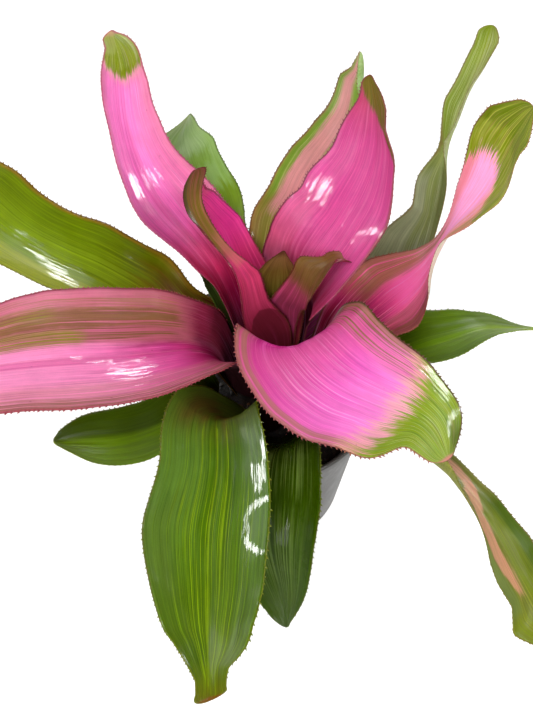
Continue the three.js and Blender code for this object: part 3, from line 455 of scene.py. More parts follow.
        ctrl=np.array([
            [3.5, -22.7, 123.9, -14.3, 6.4, -4.1, 13.2],
            [-12.7, -24.6, 151.7, -18.9, 9.4, -6.0, 16.4],
            [-26.6, -36.2, 171.4, -23.7, 7.5, -5.4, 15.5],
            [-28.0, -60.2, 178.2, -27.7, 2.1, -7.2, 13.8],
            [-25.2, -89.3, 175.2, -30.3, 1.5, -8.6, 10.8],
            [-29.8, -118.5, 168.0, -35.0, 3.7, -6.8, 8.8],
            [-28.9, -147.0, 156.3, -31.1, 5.4, -7.7, 6.5],
            [-29.2, -173.8, 140.3, -20.5, 4.2, -8.2, 4.5],
            [-26.0, -194.7, 117.2, -8.6, -3.7, 0.0, 1.2],
        ]),
        right=[-0.2, -0.1, 0, 0.1, 0.3, 0.5, 0.8, 1.1, 1.4, 1.4, 1.0, -0.1, -0.2, 0.1, 0.3, 0.5, 0.3, -0.2, -0.7, -0.8, -0.6, -0.4, -0.1, 0.2, 0.6, 0.7, 0.5, 0, -0.2, -0.3, -0.2, -0.1, -0.1, -0.2, -0.8, -3.9, -5.5, -6.4, -6.7, -3.8, 0.3],
        left=[0.1, 0.1, 0.1, 0, 0, -0.1, -0.2, -0.4, -0.7, -0.9, -1.0, -1.0, -0.5, -0.2, -0.1, -0.1, 0.1, 0.1, 0.1, 0.2, 0, 0.1, 0.1, 0, 0.1, -0.1, -0.2, -0.4, -0.4, 0, 0.6, 0.8, 1.1, 0.8, 1.4, 1.2, -0.7, -4.2, -3.6, -2.1, 0.3],
        blunt=30,
    ),
    "G": dict(
        node="leaf_front_low_green", slot="leaf_green", tip=0.78,
        ctrl=np.array([
            [10.8, -31.7, 122.7, -18.0, -3.6, -1.8, 12.3],
            [8.7, -38.9, 145.2, -22.7, -2.7, -4.1, 14.7],
            [6.1, -53.9, 161.3, -26.3, 0.1, -4.7, 13.6],
            [3.7, -74.1, 167.4, -29.1, 2.8, -4.2, 12.2],
            [1.9, -94.1, 161.3, -31.1, 5.1, -3.8, 9.4],
            [0.6, -108.6, 145.2, -29.8, 6.7, -4.7, 7.9],
            [1.7, -118.5, 124.7, -26.1, 7.9, -7.6, 6.1],
            [6.2, -128.8, 104.3, -19.9, 8.3, -11.6, 5.6],
            [14.0, -144.9, 87.5, -10.8, 7.5, -15.1, 4.8],
        ]),
        right=[0, 0, 0, 0, 0, 0, 0, 0, 0, 0, 0, 0, 0, 0, 0, 0, 0, 0, 0, 0, 0, 0, 0, 0, 0, 0, 0.1, 0.1, 0.1, 0, 0, -0.1, -0.3, -0.5, -0.8, -1.1, -1.4, -1.4, -1.1, 0.9, 1.3],
        left=[0, 0, 0, 0, 0, 0, 0, 0, -0.1, -0.1, -0.1, -0.2, -0.2, -0.2, -0.1, 0.1, 0, -0.1, -0.1, -0.1, 0.1, 0.2, 0.2, 0.1, -0.1, 0, 0, -0.2, -0.2, -0.1, 0, 0, -0.1, 0.1, 0.3, 0.2, 0.2, -0.2, -0.9, -1.8, -2.7],
    ),
    "E": dict(
        node="leaf_left_low_green", slot="leaf_green", tip=0.72,
        ctrl=np.array([
            [-20.3, -14.6, 121.3, -6.3, 15.4, 0.8, 11.7],
            [-22.4, -17.0, 135.4, -9.1, 19.7, 3.0, 14.1],
            [-32.2, -23.8, 143.4, -12.2, 21.8, 1.7, 13.0],
            [-45.2, -32.4, 145.5, -13.5, 22.1, -3.7, 11.5],
            [-58.4, -41.3, 144.3, -11.5, 21.7, -8.9, 8.3],
            [-72.5, -48.1, 143.6, -9.5, 23.4, -9.3, 7.5],
            [-87.5, -52.6, 145.3, -8.6, 23.6, -7.8, 6.7],
            [-102.7, -56.6, 149.6, -8.5, 20.9, -6.5, 5.3],
            [-117.2, -61.6, 156.5, -8.7, 15.7, -6.7, 4.0],
        ]),
        right=[0, 0, 0, 0, 0, 0, 0, 0, 0, 0, 0, 0.1, 0.1, 0, 0, -0.1, -0.2, -0.4, -0.6, -0.9, -1.1, -1.2, -1.1, -0.5, 0, 0.2, 0.3, 0.4, 0.3, 0.1, -0.2, -0.3, -0.3, -0.1, 0.1, 0.1, 0.1, 0.1, -0.1, -1.2, -2.2],
        left=[0, 0, 0, 0, 0, 0, 0, 0, 0, 0, 0, 0, 0, 0, 0, 0, -0.1, -0.2, -0.4, -0.5, -0.7, -0.9, -0.9, -0.7, -0.1, 0.3, 0.4, 0.3, 0.1, -0.2, -0.4, -0.4, -0.2, 0.1, 0.5, 0.7, 0.3, -0.5, -1.1, -1.2, -0.9],
    ),
}


def spline_rows(ctrl, t):
    n = len(ctrl)
    x = t * (n - 1)
    i = np.minimum(np.floor(x).astype(int), n - 2)
    f = x - i
    w = [(1 - f) ** 3 / 6, (3 * f**3 - 6 * f * f + 4) / 6, (-3 * f**3 + 3 * f * f + 3 * f + 1) / 6, f**3 / 6]
    padded = np.vstack([2 * ctrl[0] - ctrl[1], ctrl, 2 * ctrl[-1] - ctrl[-2]])
    return sum(w[k][:, None] * padded[i + k] for k in range(4))


ACROSS = 31
STEP = 1.6  # mm between rows


def leaf_rows(L, t):
    """Middle, unit half chord, half chord lengths to the right and left, channel depth, tangent and upward normal at t."""
    c = spline_rows(L["ctrl"], t)
    e = 1e-3
    tangent = spline_rows(L["ctrl"], np.minimum(t + e, 1)) - spline_rows(L["ctrl"], np.maximum(t - e, 0))
    tangent = tangent[:, :3] / np.linalg.norm(tangent[:, :3], axis=1)[:, None]
    half = np.linalg.norm(c[:, 3:6], axis=1)
    unit = c[:, 3:6] / half[:, None]
    up = np.cross(c[:, 3:6], tangent)
    up /= np.linalg.norm(up, axis=1)[:, None]
    x = np.clip((t - L["tip"]) / (1 - L["tip"]), 0, 1)
    k = np.sqrt(np.maximum(0, 1 - x ** L.get("blunt", 2)))
    knots = np.linspace(0, 1, len(L["right"]))
    fade = np.clip((1 - t) / 0.02, 0, 1)
    right = half * k + np.interp(t, knots, L["right"]) * fade
    left = half * k + np.interp(t, knots, L["left"]) * fade
    low = 0.12 * half * k
    return c[:, :3], unit, np.maximum(right, low), np.maximum(left, low), c[:, 6] * k, tangent, up, k


def leaf_t(L):
    """Rows about STEP apart, closing up round the tip."""
    tt = np.linspace(0, 1, 800)
    mid = spline_rows(L["ctrl"], tt)[:, :3]
    s = np.r_[0, np.cumsum(np.linalg.norm(np.diff(mid, axis=0), axis=1))]
    s_tip = np.interp(L["tip"], tt, s)
    n1 = int(round(s_tip / STEP))
    a = np.interp(np.linspace(0, s_tip, n1, endpoint=False), s, tt)
    n2 = max(14, int(round((s[-1] - s_tip) / STEP * 1.25)))
    x = np.sin(np.linspace(0, np.pi / 2, n2))
    b = L["tip"] + (1 - L["tip"]) * x
    return np.r_[a, b[:-1]], s, tt


def build_leaf(key):
    L = LEAVES[key]
    look = LOOKS[key]
    t, s_table, t_table = leaf_t(L)
    mid, unit, right, left, sag, tangent, up, k = leaf_rows(L, t)
    s = np.interp(t, t_table, s_table)
    u = np.linspace(-1, 1, ACROSS)
    v = u * (1.22 - 0.22 * u * u)
    n, m = len(t), ACROSS
    U = np.broadcast_to(v, (n, m))
    span = L.get("span", {})
    v_right = np.interp(t, *zip(*span["R"])) if "R" in span else np.ones(n)
    v_left = np.interp(t, *zip(*span["L"])) if "L" in span else -np.ones(n)
    V = v_left[:, None] + (v_right - v_left)[:, None] * (U + 1) / 2
    T = np.broadcast_to(t[:, None], (n, m))
    Smm = np.broadcast_to(s[:, None], (n, m))
    reach = np.where(V > 0, right[:, None], left[:, None])
    X = V * reach
    wide = (right + left) / 2
    wref = float(np.percentile(wide, 90))
    Q = V * wref
    edges = ((v_right[:, None] - V) * reach, (V - v_left[:, None]) * reach)
    edge = np.minimum(*edges)
    centre = mid[:, None] + unit[:, None] * X[..., None] - up[:, None] * (sag[:, None] * (1 - V**2))[..., None]
    # small relief along the normal
    seed = ord(key)
    keep = np.clip(wide / 12, 0, 1)[:, None] * np.clip(Smm / 25, 0, 1)
    relief = np.zeros((n, m))
    relief += -look.get("crease", 0.5) * np.exp(-((X / look.get("crease_w", 2.2)) ** 2))
    pl = look.get("pleat", 0.16)
    relief += pl * np.sin(2 * np.pi * (Q / 7.5 + 0.25 * wave(Smm / 120, seed))) * (0.6 + 0.4 * wave(Smm / 60, seed + 1))
    relief += pl * 0.7 * np.sin(2 * np.pi * (Q / 12.5 + 0.3 * wave(Smm / 150, seed + 2) + 0.3))
    ripple = look.get("ripple", 0.9)
    relief += ripple * wave(Smm / 46, seed + 3) * np.clip(U, 0, 1) ** 3 + ripple * wave(Smm / 41, seed + 4) * np.clip(-U, 0, 1) ** 3
    relief += look.get("swell", 0.35) * wave(Smm / 55 + 0.3 * V, seed + 5) * (1 - V**2)
    for f in look.get("shape", ()):
        relief += f(T, V, Smm, X, edge)
    relief *= keep
    centre = centre + up[:, None] * relief[..., None]
    for f in look.get("bend", ()):
        centre = f(centre, T, V, Smm, X, dict(unit=unit, up=up, tangent=tangent, mid=mid))
    # surface normals of the middle sheet
    along = np.gradient(centre, axis=0)
    over = np.gradient(centre, axis=1)
    nrm = np.cross(over, along)
    nrm /= np.linalg.norm(nrm, axis=2)[..., None] + 1e-12
    thick = look.get("thick", 1.5) * (1 - 0.72 * np.abs(U) ** 2.5) * np.clip(0.45 + 0.55 * k[:, None], 0.3, 1)
    top = centre + nrm * (thick / 2)[..., None]
    under = centre - nrm * (thick / 2)[..., None]
    rim_out = np.where(U > 0, 1.0, -1.0)[..., None] * unit[:, None]
    # each ring goes over the top from the left margin to the right one, and back underneath
    rings, ring_data = [], []
    shine = np.zeros((n, m))
    for f in look.get("gloss", ()):
        shine = np.maximum(shine, f(T, V, Smm, X))
    data = dict(tt=T, smm=Smm, qmm=Q, vv=U, edge=edge, shine=shine)
    zones = look.get("zones", ())
    for zi, z in enumerate(zones):
        data[f"z{zi}"] = z["f"](T, V, Smm, X, edges, Q)
    left_edge = centre[:, :1] + rim_out[:, :1] * 0.15
    right_edge = centre[:, -1:] + rim_out[:, -1:] * 0.15
    ring = np.concatenate([left_edge, top[:, 1:-1], right_edge, under[:, -2:0:-1]], axis=1)
    order = [0, *range(1, m - 1), m - 1, *range(m - 2, 0, -1)]
    side = np.array([0.5] + [0.0] * (m - 2) + [0.5] + [1.0] * (m - 2))
    c = ring.shape[1]
    verts = ring.reshape(-1, 3)
    faces = []
    for i in range(n - 1):
        a, b = i * c, (i + 1) * c
        for j in range(c):
            q = (j + 1) % c
            faces.append((a + j, a + q, b + q, b + j))
    apex = len(verts)
    last_mid = mid[-1] + 0.5 * (spline_rows(L["ctrl"], np.array([1.0]))[0, :3] - mid[-1])
    if "bend" in look:
        last_mid = centre[-1].mean(axis=0) + 0.3 * (centre[-1].mean(axis=0) - centre[-2].mean(axis=0))
    base_mid = centre[0].mean(axis=0)
    verts = np.vstack([verts, last_mid[None], base_mid[None]])
    b = (n - 1) * c
    for j in range(c):
        q = (j + 1) % c
        faces.append((b + j, b + q, apex))
        faces.append((q, j, apex + 1))
    flat = {}
    for name, arr in data.items():
        ringed = np.asarray(arr)[:, order].reshape(-1)
        flat[name] = np.r_[ringed, arr[-1].mean(), arr[0].mean()]
    flat["under"] = np.r_[np.tile(side, n), 0.0, 0.5]
    # marginal spines: small curved cones that lean towards the tip
    sp_v, sp_f, sp_at = [], [], []
    spine = look.get("spine", {})
    r = np.random.default_rng(seed * 7)
    base_index = len(verts)
    for sgn, col in ((1, m - 1), (-1, 0)):
        size, gap, s0, s1 = spine.get("R" if sgn > 0 else "L", spine.get("both", (1.0, 3.0, 0.12, 0.93)))
        if size <= 0:
            continue
        margin = centre[:, col] + rim_out[:, col] * 0.1
        dist = np.r_[0, np.cumsum(np.linalg.norm(np.diff(margin, axis=0), axis=1))]
        at = dist[-1] * s0
        while at < dist[-1] * s1:
            i = int(np.clip(np.searchsorted(dist, at), 1, n - 1))
            f = (at - dist[i - 1]) / max(1e-6, dist[i] - dist[i - 1])
            lerp = lambda A: A[i - 1] * (1 - f) + A[i] * f
            p = lerp(margin)
            d_along = margin[i] - margin[i - 1]
            d_along = d_along / (np.linalg.norm(d_along) + 1e-9)
            nn = lerp(nrm[:, col])
            out = np.cross(d_along, nn) * sgn
            out = out / (np.linalg.norm(out) + 1e-9)
            if out @ lerp(rim_out[:, col]) < 0:
                out = -out
            h = size * r.uniform(0.65, 1.25)
            w0 = 0.42 * h + 0.12
            lean = r.uniform(0.45, 0.95)
            levels = [(-0.35, 1.0, -0.1), (0.28, 0.66, 0.12), (0.68, 0.32, 0.42)]
            start = base_index + len(sp_v)
            for lift, fat, fwd in levels:
                cpt = p + out * (h * lift) + d_along * (h * fwd * lean)
                for a in range(5):
                    ang = 2 * np.pi * a / 5
                    sp_v.append(cpt + d_along * (math.cos(ang) * w0 * fat) + nn * (math.sin(ang) * min(w0, 0.36) * fat * 0.9))
                    sp_at.append((i, col))
            sp_v.append(p + out * h + d_along * (h * 0.95 * lean))
            sp_at.append((i, col))
            sp_v.append(p - out * (h * 0.4))
            sp_at.append((i, col))
            for lev in range(2):
                for a in range(5):
                    q = (a + 1) % 5
                    x0, x1 = start + lev * 5 + a, start + lev * 5 + q
                    y0, y1 = x0 + 5, x1 + 5
                    sp_f.append((x0, x1, y1, y0) if sgn > 0 else (x0, y0, y1, x1))
            for a in range(5):
                q = (a + 1) % 5
                tipface = (start + 10 + a, start + 10 + q, start + 15)
                endface = (start + q, start + a, start + 16)
                sp_f.append(tipface if sgn > 0 else tipface[::-1])
                sp_f.append(endface if sgn > 0 else endface[::-1])
            at += gap * r.uniform(0.7, 1.35)
    if sp_v:
        verts = np.vstack([verts, np.array(sp_v)])
        faces += sp_f
        for name in flat:
            if name == "under":
                flat[name] = np.r_[flat[name], np.full(len(sp_v), 0.5)]
            elif name == "edge":
                flat[name] = np.r_[flat[name], np.full(len(sp_v), -0.5)]
            else:
                arr = np.asarray(data[name])
                flat[name] = np.r_[flat[name], [arr[i, col] for i, col in sp_at]]
    ob = new_object(L["node"] + "_blade", verts * MM, faces, leaf_material(key, look))
    for name, values in flat.items():
        put_attr(ob, name, values)
    bm = bmesh.new()
    bm.from_mesh(ob.data)
    bmesh.ops.recalc_face_normals(bm, faces=bm.faces)
    bm.to_mesh(ob.data)
    bm.free()
    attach(ob, "root")
    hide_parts(L["node"])
    return ob


# ------------------------------------------------------------------ leaf looks


# overall strength of each leaf's red, green and blue; the gains well above 1 for P, R, O and K are partly painted
# light, lifting leaves that lie in shade
GAINS = {
    "P": (1.68, 1.47, 1.55),
    "R": (1.67, 1.51, 1.78),
    "Q": (0.97, 1.15, 0.84),
    "O": (1.33, 1.40, 1.54),
    "M": (1.05, 1.07, 1.05),
    "A": (1.06, 1.12, 1.21),
    "H": (1.00, 1.11, 1.17),
    "N": (1.08, 1.51, 1.03),
    "K": (1.82, 1.46, 1.64),
    "D": (1.27, 1.21, 1.31),
    "L": (1.30, 1.24, 1.31),
    "B": (1.39, 1.37, 1.46),
    "C": (1.36, 1.31, 0.25),
    "J": (1.08, 1.20, 0.28),
    "I": (1.13, 1.01, 0.41),
    "F": (1.00, 1.02, 0.32),
    "G": (1.04, 1.15, 0.35),
    "E": (1.38, 1.60, 0.47),
}


def leaf_material(key, look):
    net = Net("leaf_" + key)
    s, q, tt, vv = net.attr("smm"), net.attr("qmm"), net.attr("tt"), net.attr("vv")
    edge, under = net.attr("edge"), net.attr("under")
    seed = float(ord(key))
    look_get = look.get
    fine = net.noise(net.vec(net.mul(q, 1.55), net.mul(s, 0.035), seed), detail=2.0, rough=0.6)
    veins = net.noise(net.vec(net.mul(q, look_get("vein_scale", 0.9)), net.mul(s, 0.012), seed + 3), detail=3.0, rough=0.62)
    broad = net.noise(net.vec(net.mul(q, 0.16), net.mul(s, 0.010), seed + 7), detail=1.5)
    blotch = net.noise(net.vec(net.mul(q, 0.10), net.mul(s, 0.06), seed + 11), detail=3.0, rough=0.6)
    grain = net.noise(net.vec(net.mul(q, 2.6), net.mul(s, 1.3), seed + 13), detail=2.0, rough=0.65)
    shift = net.mul(net.add(broad, -0.5), look.get("drift", 0.10))
    # each ramp runs dark towards the leaf base: partly the leaf's own colour, partly painted shade of the rosette's
    # centre
    col = net.ramp(net.add(tt, shift), look["ramp"])
    tone = look.get("tone", {})
    # lighter and darker streaks along the veins
    light = tone.get("light", (255, 190, 215))
    dark = tone.get("dark", (170, 20, 100))
    col = net.mix(net.mul(net.step(veins, 0.52, 0.74), tone.get("light_amt", 0.35)), col, lin(*light))
    col = net.mix(net.mul(net.step(veins, 0.47, 0.27), tone.get("dark_amt", 0.25)), col, lin(*dark), "MULTIPLY" if tone.get("multiply") else "MIX")
    col = net.mix(net.mul(net.step(broad, 0.50, 0.72), tone.get("broad_amt", 0.25)), col, lin(*tone.get("broad", light)))
    for zi, z in enumerate(look.get("zones", ())):
        d = net.attr(f"z{zi}")
        jl, jw = z.get("jl", 16.0), z.get("jw", 1.6)
        if z.get("jag", 0):
            jn = net.noise(net.vec(net.mul(q, 1 / jw), net.mul(s, 1 / jl), seed + 20 + zi), detail=3.0, rough=0.62)
            d = net.add(d, net.mul(net.add(jn, -0.5), 2.0 * z["jag"]))
        if z.get("wisp", 0):
            wn = net.noise(net.vec(net.mul(q, 1.25), net.mul(s, 0.030), seed + 25 + zi), detail=3.0, rough=0.7)
            d = net.add(d, net.mul(net.add(wn, -0.5), 2.0 * z["wisp"]))
        if z.get("line"):
            d = net.math("SUBTRACT", z["line"], net.math("ABSOLUTE", d))
        soft = z.get("soft", 1.0)
        mask = net.step(d, -soft, soft)
        if z.get("stripes"):
            w, cut = z["stripes"]
            sn = net.noise(net.vec(net.mul(q, 1 / w), net.mul(s, 0.006), seed + 40 + zi), detail=2.5, rough=0.7)
            mask = net.mul(mask, net.step(sn, cut - 0.05, cut + 0.06))
        if z.get("patchy"):
            w, cut = z["patchy"]
            pn = net.noise(net.vec(net.mul(q, 1 / w), net.mul(s, 0.3 / w), seed + 60 + zi), detail=2.0)
            mask = net.mul(mask, net.step(pn, cut - 0.12, cut + 0.12))
        mask = net.mul(mask, z.get("amt", 1.0))
        zc = z["col"]
        if z.get("col2"):
            zn = net.noise(net.vec(net.mul(q, 1 / z.get("c2w", 2.2)), net.mul(s, 1 / z.get("c2l", 28.0)), seed + 80 + zi), detail=3.0, rough=0.65)
            zcol = net.mix(net.step(zn, 0.42, 0.62), lin(*zc), lin(*z["col2"]))
        else:
            zcol = lin(*zc)
        col = net.mix(mask, col, zcol, z.get("blend", "MIX"))
    # fine parallel nerves
    fine_amt = look.get("fine", 0.16)
    col = net.mix(net.mul(net.step(fine, 0.50, 0.30), fine_amt), col, lin(*look.get("nerve", (120, 60, 60))), "MIX")
    # grooves and cross veins make small changes of brightness
    groove = net.noise(net.vec(net.mul(q, 2.3), net.mul(s, 0.022), seed + 19), detail=3.0, rough=0.7)
    value = net.add(net.mul(net.add(groove, -0.5), look_get("groove", 0.55)), net.mul(net.add(veins, -0.5), look_get("vein_value", 0.45)))
    cross = net.noise(net.vec(net.mul(q, 0.8), net.mul(s, 2.2), seed + 27), detail=2.0, rough=0.6)
    value = net.add(value, net.mul(net.add(cross, -0.5), look_get("cross", 0.16)))
    value = net.add(value, net.mul(net.add(blotch, -0.5), look_get("cloud", 0.35)))
    hsv = net.node("ShaderNodeHueSaturation")
    hsv.inputs["Saturation"].default_value = look_get("saturation", 1.0)
    net.put(hsv.inputs["Value"], net.add(value, 1.0))
    net.put(hsv.inputs["Color"], col)
    col = hsv.outputs[0]
    # freckles
    freckle = look.get("freckle", 0.0)
    if freckle:
        vor = net.cells(net.vec(net.mul(q, 0.22), net.mul(s, 0.16), seed))
        keep = net.step(net.noise(net.vec(net.mul(q, 0.22), net.mul(s, 0.16), seed + 5)), 0.58, 0.62)
        spot = net.mul(net.step(vor.outputs["Distance"], 0.13, 0.06), keep)
        col = net.mix(net.mul(spot, freckle), col, lin(*look.get("freckle_col", (110, 35, 50))))
    # margins
    for side, low, high in (("R", 0.0, 0.02), ("L", 0.0, -0.02)):
        m = look.get("margin", {}).get(side) or look.get("margin", {}).get("both")
        if not m:
            continue
        width, mc, amt = m
        here = net.step(vv, low, high)
        wob = net.mul(net.add(net.noise(net.vec(net.mul(s, 0.25), seed, 0.0), detail=3.0), -0.5), width * 1.2)
        band = net.step(net.add(edge, wob), width * 1.25, width * 0.45)
        col = net.mix(net.mul(net.mul(band, here), amt), col, lin(*mc))
    # underside: paler, with a faint scurf of scales in cross bands
    scurf = net.noise(net.vec(net.mul(q, 0.9), net.mul(s, 0.9), seed + 31), detail=4.0, rough=0.7)
    bands = net.noise(net.vec(net.mul(q, 0.03), net.mul(s, 0.22), seed + 33), detail=2.0)
    ucol = net.mix(net.step(scurf, 0.40, 0.68), lin(*look.get("under", (120, 135, 80))), lin(*look.get("under2", (165, 172, 130))))
    ucol = net.mix(net.mul(net.step(bands, 0.50, 0.66), 0.35), ucol, lin(196, 196, 170))
    ucol = net.mix(0.30, ucol, col)
    # painted shade: each underside goes dark maroon towards the leaf base, where it sits in the shade of the pot and
    # the rosette
    ucol = net.mix(net.step(tt, 0.32, 0.14), ucol, lin(36, 12, 16))
    col = net.mix(net.step(under, 0.45, 0.75), col, ucol)
    gain = GAINS.get(key)
    if gain:
        col = net.mix(1.0, col, (*gain, 1.0), "MULTIPLY")
    b = net.bsdf
    net.put(b.inputs["Base Color"], col)
    rough = net.span(blotch, 0.3, 0.7, look.get("rough", 0.40) - 0.05, look.get("rough", 0.40) + 0.07)
    rough = net.add(rough, net.mul(under, 0.16))
    net.put(b.inputs["Roughness"], rough)
    b.inputs["IOR"].default_value = 1.45
    b.inputs["Specular IOR Level"].default_value = look.get("spec", 0.05)
    b.inputs["Subsurface Weight"].default_value = look.get("sss", 0.12)
    b.inputs["Subsurface Radius"].default_value = look.get("sss_radius", (1.0, 0.42, 0.55))
    b.inputs["Subsurface Scale"].default_value = 0.0016
    streaks = net.noise(net.vec(net.mul(q, 0.66), net.mul(s, 0.040), seed + 51), detail=2.5, rough=0.65)
    patches = net.noise(net.vec(net.mul(q, 0.5), net.mul(s, 0.22), seed + 53), detail=2.0)
    shiny = net.add(net.attr("shine"), net.mul(net.add(streaks, -0.5), look.get("streaky", 4.4)))
    shiny = net.add(shiny, net.mul(net.add(patches, -0.5), 0.7))
    shiny = net.mul(net.step(shiny, 0.45, 0.53), net.step(net.attr("shine"), 0.10, 0.26))
    shiny = net.mul(shiny, look.get("wet", 1.0) - look.get("coat", 0.03))
    net.put(b.inputs["Coat Weight"], net.add(shiny, look.get("coat", 0.03)))
    b.inputs["Coat Roughness"].default_value = look.get("coat_rough", 0.06)
    b.inputs["Coat IOR"].default_value = 1.5
    ribs = net.noise(net.vec(net.mul(q, 1.15), net.mul(s, 0.055), seed + 17), detail=2.0, rough=0.6)
    height = net.add(net.mul(ribs, 1.0), net.mul(grain, 0.16))
    nrm = net.bump(height, look.get("bump", 0.00009), 1.0)
    net.put(b.inputs["Normal"], nrm)
    net.put(b.inputs["Coat Normal"], nrm)
    return net.mat


def spot(t0, v0, along, across, turn=0.0, amount=1.0):
    """A glossier patch: centre, half size in mm along and across the leaf, and its turn in degrees."""
    def f(T, V, S, X):
        s0 = np.interp(t0, T[:, 0], S[:, 0])
        half = np.maximum(np.abs(X) / np.maximum(np.abs(V), 0.05), 4.0)
        a, b = S - s0, (V - v0) * half
        c, d = math.cos(math.radians(turn)), math.sin(math.radians(turn))
        a, b = c * a + d * b, -d * a + c * b
        return amount * np.exp(-((a / along) ** 2) - (b / across) ** 2)
    return f


def stroke(width, amount, *pts):
    """A glossier streak along a line through (t, v) points; width in mm each way."""
    def f(T, V, S, X):
        half = np.maximum(np.abs(X) / np.maximum(np.abs(V), 0.05), 4.0)
        best = np.full(T.shape, 1e9)
        ps = [(np.interp(t, T[:, 0], S[:, 0]), v) for t, v in pts]
        for (s0, v0), (s1, v1) in zip(ps, ps[1:] or ps):
            ax, ay = S - s0, (V - v0) * half
            bx, by = s1 - s0, (v1 - v0) * half
            h = np.clip((ax * bx + ay * by) / np.maximum(bx * bx + by * by, 1e-6), 0, 1)
            best = np.minimum(best, np.hypot(ax - h * bx, ay - h * by))
        return amount * np.exp(-((best / width) ** 2))
    return f


def tilt(t0, v0, along, across, g_along, g_across):
    """Relief that leans the surface at one place by the given slopes."""
    def f(T, V, S, X, edge):
        s0 = np.interp(t0, T[:, 0], S[:, 0])
        half = np.maximum(np.abs(X) / np.maximum(np.abs(V), 0.05), 4.0)
        a, b = S - s0, (V - v0) * half
        return (g_along * a + g_across * b) * np.exp(-((a / along) ** 2) - (b / across) ** 2)
    return f


def zone(f, col, **k):
    return dict(f=f, col=col, **k)


def past(*pts):
    """Distance in mm beyond a line across the leaf, through the given (v, t)."""
    vs, ts = zip(*pts)
    return lambda T, V, S, X, E, Q: (T - np.interp(V, vs, ts)) * S.max()


def band(v0, v1, t0, t1, soft=0.06):
    """Signed distance in mm into a band from v0 to v1, which fades out before t0 and after t1."""
    def f(T, V, S, X, E, Q):
        half = np.maximum(np.abs(X) / np.maximum(np.abs(V), 0.05), 5.0)
        lo = v0(T) if callable(v0) else v0
        hi = v1(T) if callable(v1) else v1
        return np.minimum(np.minimum(V - lo, hi - V) * half, np.minimum(T - t0, t1 - T) * 4.0 / soft)
    return f


def rim(side, width, t0, t1):
    """Signed distance in mm into a band along one margin."""
    def f(T, V, S, X, E, Q):
        d = width - (E[0] if side > 0 else E[1])
        return np.minimum(d, np.minimum(T - t0, t1 - T) * 60.0)
    return f


def line(v0, t0, t1):
    """Signed distance in mm from the line v0(t), for a zone with a line width; it fades out outside t0 to t1."""
    def f(T, V, S, X, E, Q):
        half = np.maximum(np.abs(X) / np.maximum(np.abs(V), 0.05), 3.0)
        d = (V - v0(T)) * half
        out = np.maximum(0, np.maximum(t0 - T, T - t1)) * 60.0
        return d + np.where(d > 0, out, -out)
    return f


PINK = dict(light=(255, 176, 222), dark=(206, 40, 132), light_amt=0.16, dark_amt=0.16, broad=(255, 150, 205), broad_amt=0.22)
GREEN = dict(light=(150, 168, 40), dark=(52, 78, 6), light_amt=0.45, dark_amt=0.45, broad=(128, 146, 60), broad_amt=0.25)
DEEP = dict(light=(226, 92, 150), dark=(120, 12, 56), light_amt=0.20, dark_amt=0.22, broad=(206, 70, 132), broad_amt=0.25)

